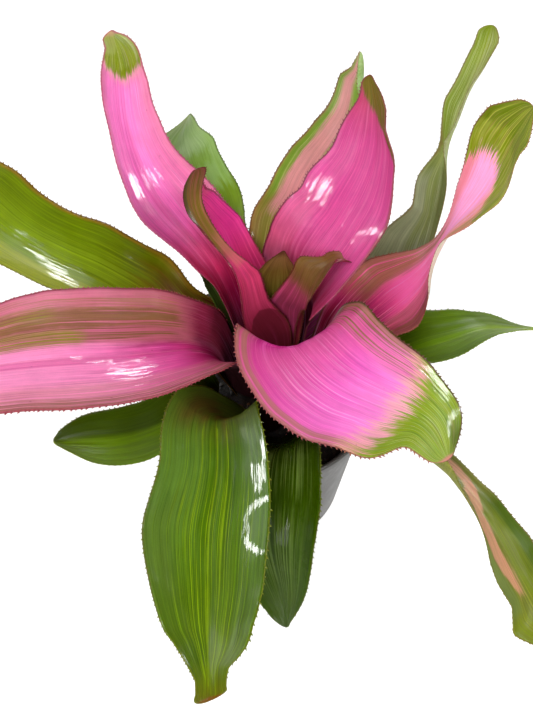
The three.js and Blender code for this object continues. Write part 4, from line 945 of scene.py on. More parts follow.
LOOKS = {
    "P": dict(
        gloss=[spot(0.83, -0.7, 6, 5), spot(0.55, -0.6, 12, 4)], 
        under=(112, 34, 56), under2=(140, 60, 78),
        ramp=[(0.0, (36, 6, 14)), (0.18, (116, 30, 52)), (0.30, (150, 46, 76)), (0.44, (170, 54, 90)), (0.56, (176, 60, 104)), (0.61, (130, 74, 64)), (0.66, (104, 94, 30)), (0.82, (108, 102, 30)), (0.93, (92, 82, 28)), (1.0, (88, 62, 30))],
        tone=DEEP, groove=0.25, drift=0.05, fine=0.16, nerve=(80, 20, 30), thick=1.3,
        zones=[
            zone(band(0.35, 1.2, 0.52, 0.68), (158, 108, 84), soft=1.6, jag=1.0, amt=0.5),
            zone(band(-1.2, -0.45, 0.62, 0.99), (58, 62, 22), soft=1.2, jag=1.2, amt=0.8),
            zone(band(-1.2, -0.2, 0.0, 0.42), (70, 6, 26), soft=3.5, amt=0.6),
            zone(lambda T, V, S, X, E, Q: (np.interp(V, [-0.6, -0.1, 0.32, 0.63, 0.88, 1.0], [0.15, 0.19, 0.24, 0.26, 0.24, 0.20]) - T) * S.max(), (84, 22, 34), soft=0.8, jag=0.4, amt=0.8),
        ],
        margin=dict(both=(0.9, (70, 30, 24), 0.8)), spine=dict(both=(0.8, 2.5, 0.10, 0.95)), crease=0.7),
    "R": dict(
        under=(112, 34, 56), under2=(140, 60, 78),
        ramp=[(0.0, (60, 8, 22)), (0.10, (106, 32, 54)), (0.25, (124, 42, 64)), (0.45, (132, 54, 72)), (0.52, (130, 62, 68)), (0.63, (108, 86, 42)), (0.80, (98, 72, 32)), (0.94, (100, 72, 34)), (0.98, (168, 118, 108))],
        tone=DEEP, groove=0.3, drift=0.06, fine=0.16, nerve=(70, 30, 20), thick=1.3,
        zones=[zone(past((-1, 0.50), (-0.3, 0.56), (0.4, 0.62), (1, 0.66)), (96, 76, 32), soft=6.0, jag=3.0, jl=9, amt=0.7, col2=(84, 64, 22))],
        margin=dict(both=(0.8, (92, 46, 30), 0.8)), spine=dict(both=(0.8, 2.6, 0.10, 0.95)), crease=0.6),
    "Q": dict(
        gloss=[
            stroke(1.0, 0.69, (0.860, -0.96), (0.893, -0.89)),
        ], 
        under=(96, 60, 44), under2=(120, 84, 64),
        ramp=[(0.0, (150, 32, 64)), (0.30, (150, 36, 66)), (0.38, (84, 62, 22)), (0.50, (92, 74, 26)), (0.80, (116, 80, 40)), (0.94, (140, 92, 64)), (1.0, (104, 43, 46))],
        tone=dict(light=(150, 120, 66), dark=(50, 42, 10), light_amt=0.4, dark_amt=0.4, broad=(120, 90, 40)), fine=0.2, nerve=(50, 36, 14), thick=1.3,
        margin=dict(both=(0.9, (96, 44, 36), 0.7)), spine=dict(both=(0.8, 2.4, 0.12, 0.93)), crease=0.7),
    "O": dict(
        under=(112, 34, 56), under2=(140, 60, 78),
        ramp=[(0.0, (30, 0, 10)), (0.20, (64, 2, 20)), (0.28, (96, 8, 38)), (0.36, (150, 20, 66)), (0.45, (176, 38, 88)), (0.60, (206, 50, 126)), (0.72, (210, 60, 132)), (0.90, (202, 96, 122))],
        tone=DEEP, drift=0.05, fine=0.18, nerve=(120, 20, 60), thick=1.3,
        margin=dict(both=(0.8, (120, 40, 50), 0.75)), spine=dict(both=(0.8, 2.6, 0.12, 0.95)), crease=0.7),
    "M": dict(
        gloss=[
            stroke(6.6, 0.60, (0.565, -0.92), (0.600, -0.87), (0.615, -0.71)),
            stroke(5.8, 0.60, (0.581, -0.69), (0.610, -0.63)),
            stroke(1.8, 0.76, (0.514, -0.99), (0.574, -0.97)),
            stroke(1.4, 0.76, (0.574, -0.64), (0.573, -0.40)),
            stroke(1.6, 0.86, (0.542, 0.34), (0.568, 0.35), (0.593, 0.49), (0.599, 0.61), (0.613, 0.67), (0.623, 0.84), (0.631, 0.99)),
            stroke(1.3, 0.76, (0.550, 0.39), (0.571, 0.44)),
        ], 
        under=(150, 70, 96), under2=(178, 112, 120),
        ramp=[(0.0, (34, 3, 10)), (0.18, (60, 6, 20)), (0.30, (132, 28, 62)), (0.38, (190, 58, 106)), (0.50, (224, 84, 156)), (0.64, (222, 76, 156)), (0.80, (214, 74, 146)), (0.93, (196, 74, 112)), (1.0, (140, 92, 50))],
        groove=0.35, cloud=0.45, tone=PINK, drift=0.06, fine=0.18, nerve=(170, 50, 100),
        zones=[
            zone(band(0.35, 1.3, 0.0, 0.40), (124, 22, 56), soft=5.0, amt=0.5),
            zone(past((-1, 0.983), (-0.63, 0.94), (-0.17, 0.907), (0.23, 0.878), (0.47, 0.865), (0.9, 0.80)), (128, 112, 36), soft=2.0, jag=5.0, jl=14, wisp=5, col2=(92, 96, 16)),
            zone(rim(1, 2.2, 0.45, 0.95), (146, 90, 72), soft=1.2, jag=0.8, amt=0.75),
            zone(band(-0.9, 0.9, 0.36, 0.90), (246, 136, 190), soft=4.0, wisp=6.0, amt=0.20, stripes=(1.0, 0.58)),
            zone(band(-0.9, 0.9, 0.30, 0.92), (182, 46, 110), soft=4.0, wisp=6.0, amt=0.28, stripes=(1.6, 0.57)),
            zone(band(-1.3, -0.6, 0.2, 0.6), (230, 120, 160), soft=4.0, jag=3.0, amt=0.4),
        ],
        margin=dict(both=(0.8, (132, 62, 70), 0.75)), spine=dict(both=(0.9, 2.8, 0.15, 0.97)), crease=0.8),
    "A": dict(
        gloss=[
            stroke(4.7, 0.60, (0.577, -0.77), (0.581, -0.30), (0.575, 0.07)),
            stroke(5.3, 0.60, (0.562, -0.68), (0.566, -0.21)),
            stroke(1.8, 0.76, (0.574, 0.19), (0.538, 0.11)),
            stroke(1.5, 0.76, (0.556, 0.29), (0.516, 0.24)),
            stroke(1.8, 0.75, (0.566, -0.08), (0.540, -0.14)),
        ], 
        under=(150, 70, 96), under2=(178, 112, 120),
        ramp=[(0.0, (50, 4, 18)), (0.12, (88, 8, 28)), (0.20, (150, 12, 56)), (0.28, (200, 44, 90)), (0.36, (222, 78, 128)), (0.44, (232, 98, 166)), (0.60, (243, 110, 182)), (0.74, (247, 126, 190)), (0.88, (240, 120, 180))],
        tone=PINK, drift=0.08, fine=0.14, nerve=(205, 70, 140),
        zones=[
            zone(band(-0.75, 0.10, 0.42, 0.88), (218, 76, 146), soft=6.0, wisp=10.0, amt=0.55, stripes=(3.0, 0.50)),
            zone(band(0.35, 1.3, 0.38, 0.90), (224, 122, 152), soft=6.0, wisp=8.0, amt=0.6),
            zone(past((-0.95, 0.895), (-0.51, 0.858), (0.06, 0.828), (0.66, 0.843), (1.0, 0.845)), (226, 176, 130), soft=5.0, jag=6.0, jl=16, wisp=12, amt=0.55),
            zone(rim(1, 4.0, 0.42, 0.88), (228, 128, 150), soft=2.6, jag=1.6, wisp=2, amt=0.55),
            zone(band(-0.8, 0.8, 0.34, 0.88), (255, 176, 218), soft=4.0, wisp=6.0, amt=0.22, stripes=(1.0, 0.58)),
            zone(rim(-1, 2.4, 0.30, 0.88), (214, 120, 140), soft=1.4, jag=0.8, amt=0.55),
            zone(past((-0.91, 0.905), (-0.51, 0.868), (0.06, 0.842), (0.66, 0.855), (1.0, 0.862)), (132, 142, 6), soft=2.2, jag=7.0, jl=20, jw=2.0, wisp=10, col2=(108, 124, 2), c2w=1.8),
            zone(past((-1, 0.88), (1, 0.87)), (200, 204, 120), soft=1.5, wisp=4, amt=0.75, stripes=(0.7, 0.58)),
            zone(past((-1, 0.93), (-0.3, 0.93), (0.3, 1.01)), (160, 163, 84), soft=2.5, jag=3.0, amt=0.7),
            zone(past((-1, 0.992), (1, 0.985)), (196, 150, 112), soft=1.5, amt=0.8),
        ],
        cloud=0.5, freckle=0.35, freckle_col=(150, 50, 80),
        margin=dict(both=(0.7, (176, 80, 96), 0.8)), spine=dict(R=(0.9, 3.0, 0.2, 0.96), L=(1.0, 3.0, 0.2, 0.96)), crease=0.9),
    "H": dict(
        gloss=[
            stroke(3.8, 0.76, (0.796, -0.92), (0.829, -0.90), (0.856, -0.85)),
            stroke(1.4, 0.83, (0.913, -0.95), (0.911, -0.69), (0.930, -0.44), (0.945, -0.47)),
        ],
        under=(150, 70, 96), under2=(178, 112, 120),
        ramp=[(0.0, (44, 4, 16)), (0.18, (100, 12, 42)), (0.30, (160, 24, 92)), (0.40, (196, 42, 126)), (0.48, (208, 56, 138)), (0.56, (222, 72, 158)), (0.64, (236, 96, 180)), (0.72, (244, 118, 190)), (0.80, (246, 132, 196))],
        tone=dict(light=(252, 160, 212), dark=(190, 34, 120), light_amt=0.18, dark_amt=0.12, broad=(250, 130, 194), broad_amt=0.22), drift=0.10, groove=0.32, fine=0.14, nerve=(186, 52, 120), cross=0.12,
        zones=[
            zone(band(-0.6, 0.7, 0.42, 0.60), (214, 112, 132), soft=6.0, jag=4, jw=5, amt=0.30),
            zone(band(-0.45, 0.65, 0.50, 0.80), (255, 186, 222), soft=4.0, wisp=8.0, amt=0.38, stripes=(1.0, 0.60)),
            zone(rim(1, 8.0, 0.28, 0.86), (206, 106, 126), soft=4.0, jag=3.0, wisp=4.0, amt=0.50),
            zone(rim(1, 6.5, 0.28, 0.86), (168, 110, 82), soft=1.5, wisp=3.0, amt=0.70, stripes=(0.8, 0.50)),
            zone(rim(1, 1.6, 0.26, 0.90), (150, 100, 66), soft=0.8, jag=1.0, amt=0.75),
            zone(rim(-1, 16.0, 0.26, 0.86), (214, 108, 128), soft=4.0, wisp=5.0, amt=0.45),
            zone(rim(-1, 15.0, 0.28, 0.84), (122, 96, 40), soft=2.0, wisp=2.0, amt=0.90, stripes=(0.75, 0.54)),
            zone(rim(-1, 3.2, 0.22, 0.88), (138, 104, 58), soft=1.4, jag=1.6, amt=0.7),
            zone(line(lambda t: -1 + 11.0 / 34 + 0.03 * np.sin(9 * t), 0.36, 0.80), (150, 108, 60), line=0.35, soft=0.4, jag=0.5, amt=0.5),
            zone(past((-0.95, 0.755), (-0.80, 0.76), (-0.45, 0.765), (-0.18, 0.757), (0.30, 0.753), (0.52, 0.737), (0.68, 0.72), (0.86, 0.70), (1.0, 0.69)), (232, 172, 140), soft=4.0, jag=9.0, jl=24, jw=2.2, wisp=18, amt=0.55),
            zone(past((-0.95, 0.79), (-0.80, 0.80), (-0.45, 0.81), (-0.18, 0.804), (0.30, 0.800), (0.52, 0.782), (0.68, 0.765), (0.86, 0.745), (1.0, 0.73)), (136, 150, 20), soft=3.5, jag=12.0, jl=26, jw=2.4, wisp=24, col2=(120, 146, 30), c2w=2.2),
            zone(past((-0.95, 0.84), (0, 0.85), (0.7, 0.81), (1.0, 0.78)), (184, 188, 112), soft=3.0, wisp=10.0, amt=0.8, stripes=(1.0, 0.57)),
            zone(past((-0.95, 0.82), (0, 0.84), (0.7, 0.80), (1.0, 0.77)), (66, 88, 2), soft=3.0, wisp=10.0, amt=0.85, stripes=(1.3, 0.58)),
            zone(band(-1.2, -0.5, 0.93, 0.99), (66, 80, 2), soft=2.5, jag=1.5, amt=0.85),
            zone(past((-1, 0.991), (1, 0.991)), (212, 120, 116), soft=1.0, amt=0.8),
        ],
        freckle=0.5, freckle_col=(128, 40, 70),
        margin=dict(L=(0.8, (88, 56, 28), 0.85), R=(0.6, (170, 84, 84), 0.8)), spine=dict(R=(1.5, 2.8, 0.22, 0.96), L=(1.1, 2.6, 0.22, 0.96)), crease=0.6),
    "N": dict(
        gloss=[
            stroke(1.0, 0.69, (0.325, -0.81), (0.304, -0.68)),
            stroke(0.7, 0.60, (0.343, -0.98), (0.326, -0.87)),
        ], 
        ramp=[(0.0, (70, 40, 24)), (0.30, (124, 98, 46)), (0.44, (134, 112, 58)), (0.60, (152, 150, 84)), (0.80, (148, 164, 72)), (0.94, (190, 170, 120)), (1.0, (208, 190, 142))],
        tone=dict(light=(206, 176, 130), dark=(92, 96, 30), light_amt=0.55, dark_amt=0.45, broad=(172, 178, 100), broad_amt=0.3), fine=0.2, nerve=(110, 80, 40),
        zones=[
            zone(band(-0.83, -0.35, 0.42, 0.99), (224, 128, 158), soft=2.0, jag=2.0, wisp=4, amt=0.9),
            zone(band(-1.2, -0.83, 0.40, 0.97), (112, 128, 44), soft=1.5, jag=2.0, wisp=4, amt=0.9),
            zone(band(-0.35, 1.2, 0.45, 0.97), (122, 146, 44), soft=2.5, jag=2.0, wisp=4, amt=0.8),
            zone(rim(-1, 5.0, 0.05, 0.45), (150, 84, 62), soft=2.0, jag=1.5, amt=0.5),
            zone(rim(-1, 1.2, 0.2, 0.98), (150, 96, 60), soft=0.9, jag=0.5, amt=0.6),
        ],
        margin=dict(both=(0.8, (120, 60, 44), 0.75)), spine=dict(both=(0.9, 2.8, 0.12, 0.97)), crease=0.8),
    "K": dict(
        under=(176, 186, 160), under2=(196, 206, 178),
        ramp=[(0.0, (44, 5, 14)), (0.13, (96, 12, 38)), (0.20, (150, 30, 84)), (0.27, (190, 66, 122)), (0.36, (204, 92, 148)), (0.48, (206, 110, 156)), (0.58, (220, 142, 182)), (0.66, (226, 160, 200)), (0.78, (232, 168, 206))],
        tone=dict(light=(255, 190, 222), dark=(196, 50, 112), light_amt=0.35, dark_amt=0.20, broad=(248, 150, 190), broad_amt=0.25), drift=0.06, fine=0.18, nerve=(196, 80, 124),
        zones=[
            zone(band(0.20, 1.3, 0.22, 0.46), (150, 84, 82), soft=3.0, jag=2.5, wisp=3, amt=0.7, stripes=(1.3, 0.44)),
            zone(band(0.58, 1.3, 0.24, 0.50), (96, 70, 34), soft=3.0, jag=2.0, amt=0.75),
            zone(band(-1.3, -0.50, 0.22, 0.60), (126, 98, 56), soft=3.5, jag=2.0, wisp=2, amt=0.85, stripes=(1.3, 0.38)),
            zone(band(0.30, 1.3, 0.46, 0.90), (186, 140, 98), soft=3.5, jag=3.0, wisp=4, amt=0.85, stripes=(1.0, 0.44)),
            zone(band(0.62, 1.3, 0.54, 0.92), (140, 128, 50), soft=2.5, jag=2.0, wisp=4, amt=0.75, stripes=(1.0, 0.46)),
            zone(band(-1.3, -0.70, 0.60, 0.80), (196, 116, 104), soft=3.0, wisp=4, amt=0.7),
            zone(past((-0.95, 0.74), (-0.75, 0.785), (-0.47, 0.81), (-0.11, 0.812), (0.2, 0.80), (0.6, 0.74), (1.0, 0.70)), (104, 132, 8), soft=2.5, jag=10.0, jl=24, jw=2.0, wisp=16, col2=(124, 150, 48), c2w=2.0),
            zone(past((-1, 0.86), (-0.3, 0.90), (0.4, 0.88), (1, 0.84)), (78, 110, 0), soft=3.0, jag=5.0, wisp=8, amt=0.75),
            zone(past((-1, 0.80), (0.2, 0.82), (1, 0.76)), (168, 188, 70), soft=3.0, wisp=8.0, amt=0.75, stripes=(0.9, 0.58)),
        ],
        margin=dict(both=(0.6, (110, 66, 40), 0.8)), spine=dict(both=(1.0, 2.6, 0.12, 0.97)), crease=0.7),
    "D": dict(
        gloss=[
            stroke(5.1, 0.56, (0.537, -0.31), (0.486, -0.28), (0.437, -0.21)),
            stroke(7.3, 0.56, (0.504, -0.43), (0.475, -0.53)),
            stroke(5.7, 0.56, (0.493, -0.70), (0.473, -0.83)),
            stroke(0.9, 0.79, (0.619, -0.11), (0.575, -0.09), (0.527, -0.07)),
        ],
        under=(150, 70, 96), under2=(178, 112, 120),
        ramp=[(0.0, (10, 4, 6)), (0.06, (50, 8, 20)), (0.13, (120, 8, 52)), (0.20, (154, 12, 80)), (0.28, (174, 34, 100)), (0.36, (194, 58, 130)), (0.44, (210, 86, 148)), (0.54, (218, 116, 164)), (0.66, (220, 130, 170)), (1.0, (218, 138, 170))],
        tone=dict(light=(240, 160, 200), dark=(190, 50, 120), light_amt=0.30, dark_amt=0.22, broad=(230, 140, 180), broad_amt=0.30), drift=0.07, fine=0.20, nerve=(170, 70, 110),
        zones=[
            zone(band(0.15, 1.3, 0.08, 0.46), (104, 34, 44), soft=5.0, jag=3.0, amt=0.80),
            zone(band(-1.3, -0.50, 0.25, 1.1), (190, 120, 120), soft=5.0, jag=4.0, amt=0.6, stripes=(1.2, 0.42)),
            zone(band(0.22, 1.3, 0.26, 1.1), (170, 92, 100), soft=3.0, jag=2.0, amt=0.80),
            zone(band(0.48, 0.76, 0.29, 0.80), (108, 80, 30), soft=1.8, jag=2.4, amt=0.85, stripes=(1.7, 0.41)),
            zone(band(0.26, 0.50, 0.32, 1.1), (106, 78, 34), soft=1.6, jag=1.5, amt=0.85, stripes=(0.75, 0.50)),
            zone(band(0.74, 0.94, 0.30, 1.1), (138, 98, 58), soft=1.6, jag=1.5, amt=0.65, stripes=(0.8, 0.52)),
            zone(band(0.22, 0.46, 0.58, 1.2), (120, 116, 24), soft=1.6, jag=2.0, amt=0.85, stripes=(1.0, 0.47)),
            zone(band(0.56, 0.80, 0.64, 1.2), (124, 112, 34), soft=1.6, jag=2.0, amt=0.70, stripes=(1.0, 0.50)),
            zone(rim(-1, 7.5, 0.25, 1.1), (124, 88, 48), soft=2.5, jag=2.2, jw=1.0, amt=0.75, stripes=(1.0, 0.46)),
            zone(rim(-1, 1.6, 0.2, 1.1), (140, 64, 70), soft=0.8, jag=0.6, amt=0.8),
            # painted shade: a darker magenta line in the groove beside the midrib
            zone(line(lambda t: -0.10 + 0 * t, 0.30, 0.9), (188, 54, 122), line=0.7, soft=0.7, amt=0.55),
        ],
        freckle=0.4, freckle_col=(120, 50, 70),
        margin=dict(both=(0.6, (150, 66, 70), 0.8)), spine=dict(L=(1.5, 2.8, 0.15, 0.9), R=(0.8, 2.4, 0.12, 0.9)), crease=0.9),
    "L": dict(
        ramp=[(0.0, (176, 40, 120)), (0.10, (150, 34, 96)), (0.15, (90, 70, 46)), (0.28, (100, 106, 70)), (0.48, (110, 120, 66)), (0.58, (118, 132, 66)), (0.68, (146, 158, 82)), (0.84, (166, 174, 100)), (0.92, (132, 148, 34)), (1.0, (110, 128, 8))],
        tone=dict(light=(178, 184, 130), dark=(84, 98, 26), light_amt=0.4, dark_amt=0.45, broad=(150, 160, 96), broad_amt=0.3), fine=0.2, nerve=(74, 88, 30),
        zones=[
            zone(band(-1.3, -0.55, 0.15, 0.56), (140, 146, 116), soft=2.0, jag=1.0, amt=0.7),
            zone(band(0.25, 1.3, 0.15, 0.60), (92, 98, 38), soft=2.5, jag=1.5, amt=0.75),
            zone(band(-1.3, -0.15, 0.64, 1.0), (104, 128, 6), soft=2.4, jag=2.0, wisp=3, amt=0.85),
            zone(band(-0.9, 0.9, 0.2, 0.60), (146, 152, 120), soft=3.0, wisp=4, amt=0.3, stripes=(1.4, 0.54)),
            zone(band(-0.9, 0.95, 0.62, 0.98), (196, 204, 150), soft=2.0, wisp=3, amt=0.6, stripes=(0.9, 0.56)),
        ],
        margin=dict(both=(0.7, (120, 108, 60), 0.8)), spine=dict(both=(0.9, 3.2, 0.12, 0.96)), crease=0.8),
    "B": dict(
        ramp=[(0.0, (74, 30, 30)), (0.12, (64, 58, 18)), (0.22, (92, 116, 40)), (0.34, (116, 146, 72)), (0.60, (122, 154, 80)), (0.9, (128, 158, 84)), (1.0, (150, 170, 100))],
        tone=dict(light=(146, 172, 108), dark=(88, 120, 40), light_amt=0.4, dark_amt=0.4, broad=(104, 136, 26), broad_amt=0.6), fine=0.16, nerve=(80, 104, 40),
        zones=[zone(band(0.15, 1.3, 0.30, 0.56), (96, 122, 4), soft=2.5, jag=3.0, jw=3, wisp=4, amt=0.85), zone(band(0.2, 0.8, 0.66, 0.74), (100, 134, 20), soft=2.0, jag=3.0, jw=3, amt=0.7)],
        margin=dict(both=(0.8, (70, 96, 26), 0.8)), spine=dict(both=(0.9, 3.0, 0.15, 0.96)), crease=0.8),
    "C": dict(
        gloss=[
            stroke(1.6, 0.79, (0.669, 0.13), (0.640, 0.19), (0.612, 0.17)),
            stroke(4.9, 0.60, (0.619, -0.01), (0.576, -0.16)),
            stroke(5.6, 0.60, (0.576, -0.16), (0.546, -0.30), (0.514, -0.54)),
            stroke(2.1, 0.79, (0.428, 0.73), (0.398, 0.83), (0.389, 0.96)),
            stroke(2.0, 0.83, (0.402, 0.94), (0.403, 0.99), (0.380, 0.99)),
        ],
        ramp=[(0.0, (46, 16, 14)), (0.18, (88, 34, 60)), (0.28, (98, 46, 56)), (0.34, (98, 76, 22)), (0.41, (86, 98, 0)), (0.50, (92, 116, 0)), (0.66, (96, 122, 0)), (0.78, (90, 110, 0))],
        tone=dict(light=(136, 160, 6), dark=(50, 72, 0), light_amt=0.5, dark_amt=0.5, broad=(112, 132, 20), broad_amt=0.3), drift=0.08, fine=0.2, nerve=(56, 76, 0), cross=0.2, groove=0.7,
        zones=[
            zone(band(-1.3, -0.30, 0.34, 0.90), (148, 154, 4), soft=6.0, jag=5.0, jw=4, amt=0.70, stripes=(1.8, 0.42)),
            zone(band(-0.25, 0.55, 0.36, 0.90), (116, 140, 56), soft=6.0, jag=4.0, jw=5, amt=0.50, stripes=(1.5, 0.42)),
            zone(band(0.5, 1.3, 0.30, 0.90), (74, 90, 0), soft=4.0, jag=3.0, amt=0.5, stripes=(2.0, 0.45)),
            zone(rim(1, 1.8, 0.2, 1.1), (126, 98, 56), soft=0.9, jag=0.8, amt=0.8),
        ],
        margin=dict(both=(0.6, (110, 80, 44), 0.8)), spine=dict(both=(1.0, 3.0, 0.15, 0.9)), crease=1.0),
    "J": dict(
        ramp=[(0.0, (40, 44, 8)), (0.20, (62, 78, 6)), (0.45, (80, 104, 14)), (0.70, (96, 124, 36)), (0.88, (126, 148, 80)), (1.0, (150, 168, 118))],
        tone=GREEN, fine=0.18, nerve=(56, 76, 8),
        zones=[zone(band(-1.3, -0.2, 0.3, 0.95), (66, 86, 8), soft=3.0, jag=2.0, amt=0.6)],
        margin=dict(both=(0.6, (104, 120, 60), 0.8)), spine=dict(both=(0.9, 3.4, 0.15, 0.92)), crease=0.9),
    "I": dict(
        ramp=[(0.0, (90, 70, 50)), (0.30, (104, 108, 60)), (0.60, (106, 116, 64)), (0.85, (110, 124, 66)), (1.0, (120, 130, 50))],
        tone=dict(light=(140, 146, 100), dark=(72, 84, 20), light_amt=0.4, dark_amt=0.45, broad=(120, 128, 90), broad_amt=0.3), fine=0.2, nerve=(70, 80, 30),
        zones=[
            zone(band(-0.75, 0.10, 0.30, 0.62), (104, 122, 74), soft=3.0, wisp=3.0, amt=0.6),
            zone(band(-1.3, -0.55, 0.56, 1.0), (60, 92, 0), soft=2.5, wisp=4.0, amt=0.85),
            zone(band(-0.60, -0.05, 0.58, 0.98), (96, 120, 8), soft=2.5, wisp=4.0, amt=0.75, stripes=(1.1, 0.46)),
            zone(band(lambda t: np.interp(t, [0.46, 0.50, 0.53, 0.59, 0.66, 0.73, 0.80], [-0.8, -0.7, -0.55, 0.05, 0.18, 0.10, 0.10]), lambda t: np.interp(t, [0.46, 0.50, 0.53, 0.59, 0.66, 0.73, 0.80], [-0.35, -0.2, 0.2, 0.9, 0.72, 0.48, 0.3]), 0.40, 0.80), (198, 148, 176), soft=1.0, jag=1.5, wisp=2.0, amt=0.95, stripes=(1.0, 0.34)),
            zone(band(-0.30, 0.70, 0.45, 0.98), (156, 166, 60), soft=1.0, wisp=2.0, amt=0.85, stripes=(0.55, 0.60)),
            zone(band(lambda t: np.interp(t, [0.64, 0.73, 0.84], [0.78, 0.52, 0.42]), 1.4, 0.63, 0.84), (112, 134, 100), soft=1.5, jag=1.0, amt=0.85),
            zone(band(0.2, 1.3, 0.86, 1.1), (120, 144, 20), soft=2.0, wisp=3.0, amt=0.8, stripes=(0.9, 0.45)),
        ],
        margin=dict(both=(0.6, (120, 110, 60), 0.7)), spine=dict(both=(0.95, 3.2, 0.2, 0.97)), crease=0.8),
    "F": dict(
        gloss=[
            stroke(1.6, 0.72, (0.364, -0.99), (0.453, -0.95), (0.529, -0.89)),
            stroke(2.4, 0.66, (0.485, -0.73), (0.549, -0.79)),
            stroke(2.2, 0.80, (0.568, -0.94), (0.579, -0.69), (0.611, -0.59), (0.648, -0.58), (0.669, -0.71), (0.678, -0.89)),
            stroke(0.9, 0.69, (0.778, -0.99), (0.796, -0.86), (0.814, -0.84)),
            stroke(0.8, 0.66, (0.890, 0.98), (0.905, 0.93), (0.918, 0.93)),
            stroke(0.6, 0.63, (0.799, 0.99), (0.839, 0.99)),
            stroke(0.8, 0.63, (0.990, -0.97), (0.996, -0.79)),
        ],
        ramp=[(0.0, (40, 40, 14)), (0.08, (78, 82, 34)), (0.30, (80, 94, 26)), (0.42, (66, 98, 0)), (0.60, (70, 104, 0)), (0.82, (72, 98, 0)), (0.94, (82, 96, 6)), (1.0, (92, 84, 18))],
        tone=dict(light=(98, 134, 0), dark=(40, 66, 0), light_amt=0.6, dark_amt=0.6, broad=(84, 110, 4), broad_amt=0.3), drift=0.08, fine=0.26, nerve=(36, 58, 0), cross=0.34, groove=0.7, streaky=2.4,
        zones=[
            # painted reflection: grey-green sheen of soft reflected light on one half of the leaf
            zone(band(0.25, 1.3, 0.06, 0.52), (92, 124, 68), soft=6.0, jag=5.0, jw=6, amt=0.7),
            zone(band(-0.35, 0.80, 0.10, 0.36), (104, 74, 62), soft=6.0, jag=5.0, jw=6, amt=0.75, patchy=(14.0, 0.44)),
            # painted reflection: patchy grey-green sheen of soft reflected light
            zone(band(0.22, 1.3, 0.34, 0.66), (86, 118, 72), soft=7.0, jag=6.0, jw=7, amt=0.75, patchy=(22.0, 0.40)),
            # painted reflection: grey-green sheen of soft reflected light towards the tip
            zone(band(0.55, 1.3, 0.55, 0.80), (84, 104, 66), soft=6.0, jag=5.0, jw=6, amt=0.5),
            zone(band(-0.05, 0.80, 0.865, 0.925), (58, 84, 26), soft=2.0, jag=3.0, jw=5, amt=0.7),
            zone(band(-0.9, 0.9, 0.34, 0.97), (116, 146, 4), soft=3.0, wisp=6.0, amt=0.5, stripes=(0.9, 0.60)),
            zone(band(-0.5, 0.45, 0.36, 0.99), (150, 176, 30), soft=4.0, wisp=6.0, amt=0.5, stripes=(0.5, 0.66)),
            zone(band(-0.95, 0.95, 0.30, 0.97), (42, 70, 0), soft=3.0, amt=0.55, stripes=(0.8, 0.60)),
            zone(line(lambda t: 0.06 + 0 * t, 0.34, 0.97), (140, 166, 26), line=0.18, soft=0.25, jag=0.3, amt=0.55),
            zone(band(-0.7, 0.6, 0.55, 0.99), (142, 170, 16), soft=4.0, wisp=6.0, amt=0.65, stripes=(0.8, 0.58)),
            zone(line(lambda t: -0.20 + 0 * t, 0.36, 0.95), (140, 166, 26), line=0.25, soft=0.3, jag=0.3, amt=0.7),
            zone(line(lambda t: 0.30 + 0 * t, 0.36, 0.95), (132, 160, 16), line=0.25, soft=0.3, jag=0.3, amt=0.6),
            zone(past((-1, 0.994), (1, 0.994)), (124, 62, 30), soft=0.6, jag=0.5, jw=2, amt=0.7),
        ],
        margin=dict(both=(0.6, (112, 118, 40), 0.7)), spine=dict(L=(1.5, 4.6, 0.15, 0.93), R=(1.0, 2.6, 0.2, 0.93)), crease=1.0),
    "G": dict(
        gloss=[
            stroke(8.0, 0.62, (0.30, -0.32), (0.45, -0.32)),
            stroke(6.0, 0.60, (0.58, -0.45), (0.68, -0.35)),
        ],
        ramp=[(0.0, (26, 32, 4)), (0.30, (40, 54, 0)), (0.60, (44, 62, 0)), (0.86, (52, 72, 8)), (1.0, (62, 82, 18))],
        tone=dict(light=(66, 90, 14), dark=(24, 38, 0), light_amt=0.5, dark_amt=0.5, broad=(56, 76, 16), broad_amt=0.3), fine=0.2, nerve=(24, 36, 0), cross=0.3, groove=0.8,
        zones=[
            # painted reflection: grey streaks of sheen nearer the base
            zone(band(-0.75, 0.5, 0.28, 0.50), (112, 128, 104), soft=4.0, wisp=6.0, amt=0.5, stripes=(0.9, 0.50)),
            # painted reflection: grey streaks of sheen nearer the tip
            zone(band(-0.7, 0.4, 0.60, 0.93), (112, 130, 106), soft=5.0, wisp=6.0, amt=0.5, stripes=(1.1, 0.50)),
        ],
        margin=dict(both=(0.6, (92, 100, 60), 0.7)), spine=dict(both=(1.1, 3.4, 0.15, 0.93)), crease=1.0, rough=0.26),
    "E": dict(
        ramp=[(0.0, (28, 22, 6)), (0.16, (52, 38, 12)), (0.30, (76, 94, 0)), (0.50, (88, 114, 0)), (0.80, (92, 118, 0)), (1.0, (84, 102, 8))],
        tone=dict(light=(112, 138, 0), dark=(46, 68, 0), light_amt=0.5, dark_amt=0.5, broad=(96, 120, 10), broad_amt=0.3), fine=0.2, nerve=(44, 64, 0), cross=0.24, groove=0.7,
        zones=[zone(band(0.28, 1.3, 0.05, 1.0), (46, 60, 0), soft=2.4, jag=1.2, amt=0.85)],
        margin=dict(both=(0.6, (104, 104, 50), 0.7)), spine=dict(both=(1.0, 3.2, 0.15, 0.93)), crease=1.0),
}


# ------------------------------------------------------------------ pot, soil, stem


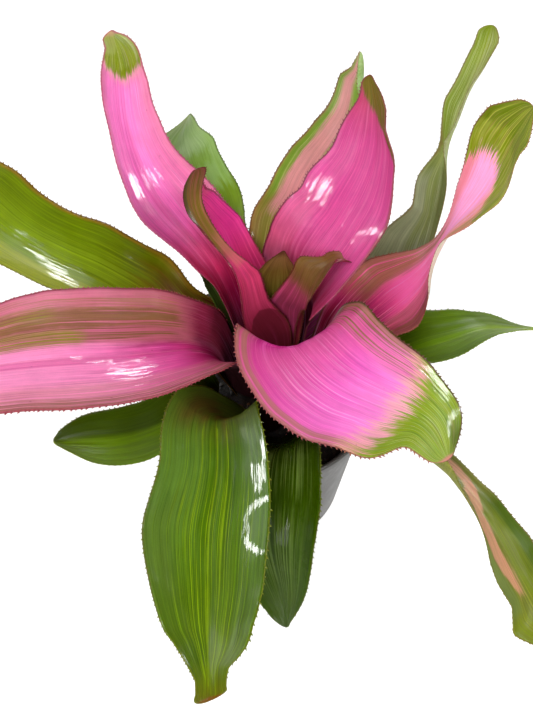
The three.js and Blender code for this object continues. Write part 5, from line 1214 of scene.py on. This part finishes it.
def pot_material():
    net = Net("pot_plastic")
    geo = net.node("ShaderNodeTexCoord").outputs["Object"]
    sep = net.node("ShaderNodeSeparateXYZ")
    net.put(sep.inputs[0], geo)
    dust = net.noise(geo, 60.0, 5.0, 0.65)
    big = net.noise(geo, 14.0, 3.0, 0.55)
    ring = net.noise(net.vec(0.0, 0.0, net.mul(sep.outputs[2], 1400.0)), 1.0, 2.0)
    col = net.mix(net.step(big, 0.35, 0.70), lin(70, 68, 67), lin(92, 90, 88))
    col = net.mix(net.mul(net.step(dust, 0.55, 0.78), 0.35), col, lin(128, 122, 112))
    speck = net.cells(geo, 420.0)
    col = net.mix(net.mul(net.step(speck.outputs["Distance"], 0.16, 0.05), 0.25), col, lin(150, 146, 138))
    low = net.step(sep.outputs[2], 0.022, 0.004)
    col = net.mix(net.mul(low, 0.3), col, lin(60, 54, 48))
    b = net.bsdf
    net.put(b.inputs["Base Color"], col)
    net.put(b.inputs["Roughness"], net.span(dust, 0.3, 0.75, 0.36, 0.56))
    b.inputs["Specular IOR Level"].default_value = 0.45
    h = net.add(net.mul(dust, 0.5), net.mul(ring, 0.35))
    net.put(b.inputs["Normal"], net.bump(h, 0.00012))
    return net.mat


def soil_material():
    net = Net("potting_soil")
    geo = net.node("ShaderNodeTexCoord").outputs["Object"]
    a = net.noise(geo, 260.0, 6.0, 0.7)
    b_ = net.noise(geo, 70.0, 4.0, 0.6)
    col = net.mix(net.step(a, 0.35, 0.72), lin(14, 10, 8), lin(52, 38, 28))
    col = net.mix(net.mul(net.step(b_, 0.55, 0.75), 0.5), col, lin(70, 50, 34))
    b = net.bsdf
    net.put(b.inputs["Base Color"], col)
    b.inputs["Roughness"].default_value = 0.93
    b.inputs["Specular IOR Level"].default_value = 0.25
    net.put(b.inputs["Normal"], net.bump(net.add(a, net.mul(b_, 0.6)), 0.0012))
    return net.mat


def grain_material(name, c1, c2, rough=0.85):
    net = Net(name)
    geo = net.node("ShaderNodeTexCoord").outputs["Object"]
    a = net.noise(geo, 160.0, 4.0, 0.65)
    wood = net.noise(geo, 520.0, 3.0, 0.7)
    col = net.mix(net.step(a, 0.35, 0.68), lin(*c1), lin(*c2))
    b = net.bsdf
    net.put(b.inputs["Base Color"], col)
    b.inputs["Roughness"].default_value = rough
    net.put(b.inputs["Normal"], net.bump(wood, 0.0005))
    return net.mat


def lathe(name, profile, material, round_=160):
    """Turns [radius, height] in mm, which starts and ends on the axis, about +Z."""
    verts, faces, rows = [], [], []
    for r, z in profile:
        if r < 1e-6:
            rows.append([len(verts)])
            verts.append((0, 0, z * MM))
        else:
            rows.append(list(range(len(verts), len(verts) + round_)))
            for k in range(round_):
                a = 2 * math.pi * k / round_
                verts.append((r * math.cos(a) * MM, r * math.sin(a) * MM, z * MM))
    for a, b in zip(rows, rows[1:]):
        for k in range(round_):
            q = (k + 1) % round_
            if len(a) == 1:
                faces.append((a[0], b[q], b[k]))
            elif len(b) == 1:
                faces.append((a[k], a[q], b[0]))
            else:
                faces.append((a[k], a[q], b[q], b[k]))
    ob = new_object(name, verts, faces, material)
    bm = bmesh.new()
    bm.from_mesh(ob.data)
    bmesh.ops.recalc_face_normals(bm, faces=bm.faces)
    bm.to_mesh(ob.data)
    bm.free()
    return ob


def rounded(points, radius, steps=4):
    """Rounds the corners of a profile."""
    out = [points[0]]
    for p, c, n in zip(points, points[1:], points[2:]):
        p, c, n = np.array(p, float), np.array(c, float), np.array(n, float)
        a, b = p - c, n - c
        la, lb = np.linalg.norm(a), np.linalg.norm(b)
        d = min(radius, 0.4 * la, 0.4 * lb)
        a, b = c + a / la * d, c + b / lb * d
        for k in range(steps + 1):
            f = k / steps
            out.append(tuple((1 - f) ** 2 * a + 2 * f * (1 - f) * c + f * f * b))
    out.append(points[-1])
    return out


def build_pot():
    H, R_OUT, R_IN, BAND, TOP, BASE, WALL = 131, 75, 72.4, 9, 68.6, 55, 2.2
    body = lambda z: BASE + (TOP - BASE) * z / (H - BAND)
    prof = [
        (0, 0), (22, 0), (23.5, 1.6), (43.5, 1.6), (45, 0), (51, 0), (body(4), 4), (body(40), 40), (body(80), 80),
        (TOP, H - BAND), (R_OUT - 1.6, H - BAND), (R_OUT - 0.8, H - BAND + 0.8), (R_OUT, H - 1.2), (R_OUT - 0.8, H),
        (R_IN, H), (R_IN - 0.7, H - 2), (TOP - WALL + 1.2, H - BAND - 3), (body(60) - WALL, 60),
        (body(4) - WALL, 6.5), (body(4) - WALL - 3, 4), (0, 4),
    ]
    ob = lathe("pot_shell", rounded(prof, 0.9, 3), pot_material(), 144)
    # drain holes through the raised ring of the floor
    cutters = []
    for k in range(6):
        a = (k + 0.5) / 6 * 2 * math.pi
        bm = bmesh.new()
        bmesh.ops.create_cone(bm, cap_ends=True, segments=28, radius1=5 * MM, radius2=5 * MM, depth=12 * MM)
        me = bpy.data.meshes.new("cut")
        bm.to_mesh(me)
        bm.free()
        c = bpy.data.objects.new("cut", me)
        c.location = (33.5 * math.cos(a) * MM, 33.5 * math.sin(a) * MM, 2.8 * MM)
        bpy.context.scene.collection.objects.link(c)
        cutters.append(c)
    bpy.context.view_layer.update()
    for c in cutters:
        mod = ob.modifiers.new("hole", "BOOLEAN")
        mod.operation, mod.object, mod.solver = "DIFFERENCE", c, "EXACT"
        dg = bpy.context.evaluated_depsgraph_get()
        me = bpy.data.meshes.new_from_object(ob.evaluated_get(dg))
        ob.modifiers.clear()
        old = ob.data
        ob.data = me
        bpy.data.meshes.remove(old)
    for c in cutters:
        m = c.data
        bpy.data.objects.remove(c)
        bpy.data.meshes.remove(m)
    ob.data.polygons.foreach_set("use_smooth", [True] * len(ob.data.polygons))
    ob.data.set_sharp_from_angle(angle=math.radians(50))
    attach(ob, "root")
    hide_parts("pot")
    return ob


def stone(bm, centre, size, seed, squash=0.7, sub=1):
    """An irregular crumb."""
    r = np.random.default_rng(seed)
    before = len(bm.verts)
    bmesh.ops.create_icosphere(bm, subdivisions=sub, radius=1.0)
    bm.verts.ensure_lookup_table()
    ax = r.uniform(0.6, 1.25, 3) * size
    ax[2] *= squash
    ang = r.uniform(0, 2 * np.pi, 3)
    ca, sa = np.cos(ang), np.sin(ang)
    rot = np.array([[ca[0], -sa[0], 0], [sa[0], ca[0], 0], [0, 0, 1]]) @ np.array([[1, 0, 0], [0, ca[1] * 0.2 + 0.8, -sa[1] * 0.5], [0, sa[1] * 0.5, ca[1] * 0.2 + 0.8]])
    for vtx in bm.verts[before:]:
        p = np.array(vtx.co) * r.uniform(0.78, 1.12)
        vtx.co = Vector(centre + rot @ (p * ax))


def soil_height(r):
    return np.interp(r, [0, 26, 46, 62, 66, 68], [117.4, 117.0, 115.8, 115.4, 114.2, 113.0])


def build_soil():
    # the top crust, its rim against the wall, and a plain body down to the floor
    RINGS, ROUND = 34, 110
    r_edge = 65.6
    verts, faces, rows = [], [], []
    rr = np.linspace(0, r_edge, RINGS)
    g = np.random.default_rng(5)
    for r in rr:
        n = 1 if r < 1e-6 else ROUND
        row = []
        for k in range(n):
            a = 2 * math.pi * k / ROUND
            x, y = r * math.cos(a), r * math.sin(a)
            bumpy = 0.9 * math.sin(x * 0.35 + 1) * math.sin(y * 0.31) + 0.5 * math.sin(x * 0.9) * math.cos(y * 0.83 + 2) + g.uniform(-0.35, 0.35)
            z = soil_height(r) - 0.9 + bumpy * (0.6 if r > r_edge - 3 else 1)
            row.append(len(verts))
            verts.append((x * MM, y * MM, z * MM))
        rows.append(row)
    body = lambda z: 55 + (68.6 - 55) * z / 122 - 2.2 - 0.5
    for z in (100, 70, 40, 12, 6.6):
        row = []
        for k in range(ROUND):
            a = 2 * math.pi * k / ROUND
            rad = min(body(z), r_edge) if z > 7 else body(7) - 2.8
            row.append(len(verts))
            verts.append((rad * math.cos(a) * MM, rad * math.sin(a) * MM, z * MM if z > 7 else 4.5 * MM))
        rows.append(row)
    rows.append([len(verts)])
    verts.append((0, 0, 4.5 * MM))
    for a, b in zip(rows, rows[1:]):
        for k in range(ROUND):
            q = (k + 1) % ROUND
            if len(a) == 1:
                faces.append((a[0], b[k], b[q]))
            elif len(b) == 1:
                faces.append((a[k], b[0], a[q]))
            else:
                faces.append((a[k], b[k], b[q], a[q]))
    ob = new_object("soil_body", verts, faces, soil_material())
    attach(ob, "root")
    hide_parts("soil")
    kinds = [
        ("soil_crumbs", grain_material("soil_crumb", (20, 15, 11), (58, 43, 31)), 620, (0.7, 1.9), 0.75, 1),
        ("soil_bark", grain_material("bark_chip", (62, 38, 22), (112, 72, 42)), 90, (1.3, 3.2), 0.45, 1),
        ("soil_perlite", grain_material("perlite", (196, 184, 160), (226, 218, 200), 0.7), 26, (0.6, 1.3), 0.85, 2),
    ]
    for i, (name, mat, count, sizes, squash, sub) in enumerate(kinds):
        r = np.random.default_rng(100 + i)
        bm = bmesh.new()
        for k in range(count):
            rad = math.sqrt(r.uniform(0.02, 1)) * 64
            a = r.uniform(0, 2 * math.pi)
            size = r.uniform(*sizes)
            z = soil_height(rad) - 0.5 + r.uniform(-0.3, 0.3) * size
            stone(bm, np.array([rad * math.cos(a), rad * math.sin(a), z]) , size, 1000 * i + k, squash, sub)
        for vtx in bm.verts:
            vtx.co *= MM
        me = bpy.data.meshes.new(name)
        bm.to_mesh(me)
        bm.free()
        o = bpy.data.objects.new(name, me)
        bpy.context.scene.collection.objects.link(o)
        me.materials.append(mat)
        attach(o, "root")


def build_stem():
    net = Net("stem_bark")
    geo = net.node("ShaderNodeTexCoord").outputs["Object"]
    sep = net.node("ShaderNodeSeparateXYZ")
    net.put(sep.inputs[0], geo)
    a = net.noise(geo, 90.0, 5.0, 0.7)
    rings = net.noise(net.vec(0.0, 0.0, net.mul(sep.outputs[2], 900.0)), 1.0, 3.0)
    col = net.mix(net.step(a, 0.35, 0.7), lin(46, 30, 18), lin(110, 82, 50))
    col = net.mix(net.mul(net.step(rings, 0.5, 0.7), 0.5), col, lin(140, 112, 74))
    net.put(net.bsdf.inputs["Base Color"], col)
    net.bsdf.inputs["Roughness"].default_value = 0.8
    net.put(net.bsdf.inputs["Normal"], net.bump(net.add(a, rings), 0.0006))
    prof = [(0, 87), (5, 87.6), (7, 89), (9, 93), (10, 99), (11.2, 104), (12, 109), (12.4, 112), (12.3, 114.5), (11.6, 116.5), (12.0, 117.4), (10.7, 119.2),
            (10.9, 120.4), (9.2, 122.6), (9.3, 123.6), (7.6, 125.4), (7.4, 126.4), (5.2, 128.8), (4.6, 130), (2.4, 131.6), (0, 132)]
    ob = lathe("stem_stock", prof, net.mat, 56)
    r = np.random.default_rng(3)
    for vtx in ob.data.vertices:
        ang = math.atan2(vtx.co.y, vtx.co.x)
        f = 1 + 0.035 * math.sin(5 * ang + vtx.co.z * 900) + r.uniform(-0.02, 0.02)
        vtx.co.x *= f
        vtx.co.y *= f
        vtx.co.x += 12 * MM
    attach(ob, "root")
    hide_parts("stem")


# ------------------------------------------------------------------ camera, light, floor


def build_camera():
    cam = bpy.data.cameras.new("camera")
    ob = bpy.data.objects.new("camera", cam)
    bpy.context.scene.collection.objects.link(ob)
    cam.sensor_fit = "VERTICAL"
    cam.sensor_height = 24.0
    cam.sensor_width = 24.0
    cam.lens = 24.0 * 1000.0 / 711.0
    cam.clip_start, cam.clip_end = 0.02, 30.0
    ob.location = (0.0032, -0.34491, 0.64964)
    ob.rotation_euler = (math.radians(90 - 55.2), 0, 0)
    bpy.context.scene.camera = ob


def area(name, where, at, size, watts, colour=(1, 1, 1), sharp=True):
    d = bpy.data.lights.new(name, "AREA")
    d.shape = "RECTANGLE"
    d.size, d.size_y = size
    d.energy = watts
    d.color = colour
    o = bpy.data.objects.new(name, d)
    bpy.context.scene.collection.objects.link(o)
    o.location = where
    o.visible_glossy = sharp
    o.visible_diffuse = not sharp
    o.visible_camera = False
    o.rotation_euler = (Vector(where) - Vector(at)).to_track_quat("Z", "Y").to_euler()
    return o


def around(az, el, dist, at=(0.0, 0.0, 0.2)):
    """A place seen from at in the direction az (0 is the camera's side, 90 is +X) and el."""
    a, e = math.radians(az), math.radians(el)
    return (at[0] + dist * math.sin(a) * math.cos(e), at[1] - dist * math.cos(a) * math.cos(e), at[2] + dist * math.sin(e))


def build_stage():
    me = bpy.data.meshes.new("floor")
    R, n = 4.0, 96
    verts = [(0, 0, 0)] + [(R * math.cos(2 * math.pi * k / n), R * math.sin(2 * math.pi * k / n), 0) for k in range(n)]
    me.from_pydata(verts, [], [(0, 1 + k, 1 + (k + 1) % n) for k in range(n)])
    ob = bpy.data.objects.new("floor", me)
    bpy.context.scene.collection.objects.link(ob)
    ob.location = (0, 0, -0.0004)
    net = Net("floor")
    net.bsdf.inputs["Base Color"].default_value = (0.45, 0.45, 0.45, 1)
    net.bsdf.inputs["Roughness"].default_value = 1.0
    net.bsdf.inputs["Specular IOR Level"].default_value = 0.0
    net.bsdf.inputs["Emission Color"].default_value = (1, 1, 1, 1)
    net.bsdf.inputs["Emission Strength"].default_value = FLOOR_GLOW
    me.materials.append(net.mat)
    world = bpy.data.worlds.new("world")
    bpy.context.scene.world = world
    world.use_nodes = True
    bg = world.node_tree.nodes["Background"]
    bg.inputs[0].default_value = (1.0, 1.0, 1.0, 1)
    bg.inputs[1].default_value = WORLD
    for name, (az, el, dist, size, watts) in LIGHTS.items():
        at = (0.0, -0.02, 0.20)
        area(name, around(az, el, dist, at), at, size, watts, sharp=name.startswith("window"))
    view = bpy.context.scene.view_settings
    view.view_transform = "Standard"
    view.look = "None"
    view.exposure = 0.0
    view.gamma = 1.0


FLOOR_GLOW = 0.85
WORLD = 0.30
# broad lamps light the leaves; the windows are what their gloss mirrors
LIGHTS = {
    "key_top": (-40, 66, 1.5, (0.60, 0.60), 8.5),
    "fill_right": (62, 48, 1.5, (0.50, 0.50), 6.5),
    "fill_front": (-12, 40, 1.5, (0.70, 0.50), 8.5),
    "window_left": (-98, 18, 1.6, (0.70, 0.85), 42.0),
    "window_side": (-58, 4, 1.6, (1.10, 0.48), 38.0),
    "window_back_left": (-140, 20, 1.7, (0.80, 0.55), 17.0),
    "window_low": (-119, -1, 1.6, (0.60, 0.30), 13.0),
    "window_right": (120, 1, 1.6, (0.85, 0.38), 25.0),
    "window_right_high": (84, 25, 1.6, (0.60, 0.30), 13.0),
    "window_corner": (62, 45, 1.6, (0.50, 0.70), 24.0),
    "window_front": (16, 54, 1.5, (0.70, 0.24), 11.0),
    "window_front_low": (17, 30, 1.5, (0.14, 0.14), 1.8),
    "window_back": (169, 13, 1.8, (0.60, 0.85), 24.0),
    "window_back_high": (146, 50, 1.8, (0.35, 0.25), 5.0),
}

build_camera()
build_stage()
build_pot()
build_soil()
build_stem()
for key in LEAVES:
    build_leaf(key)
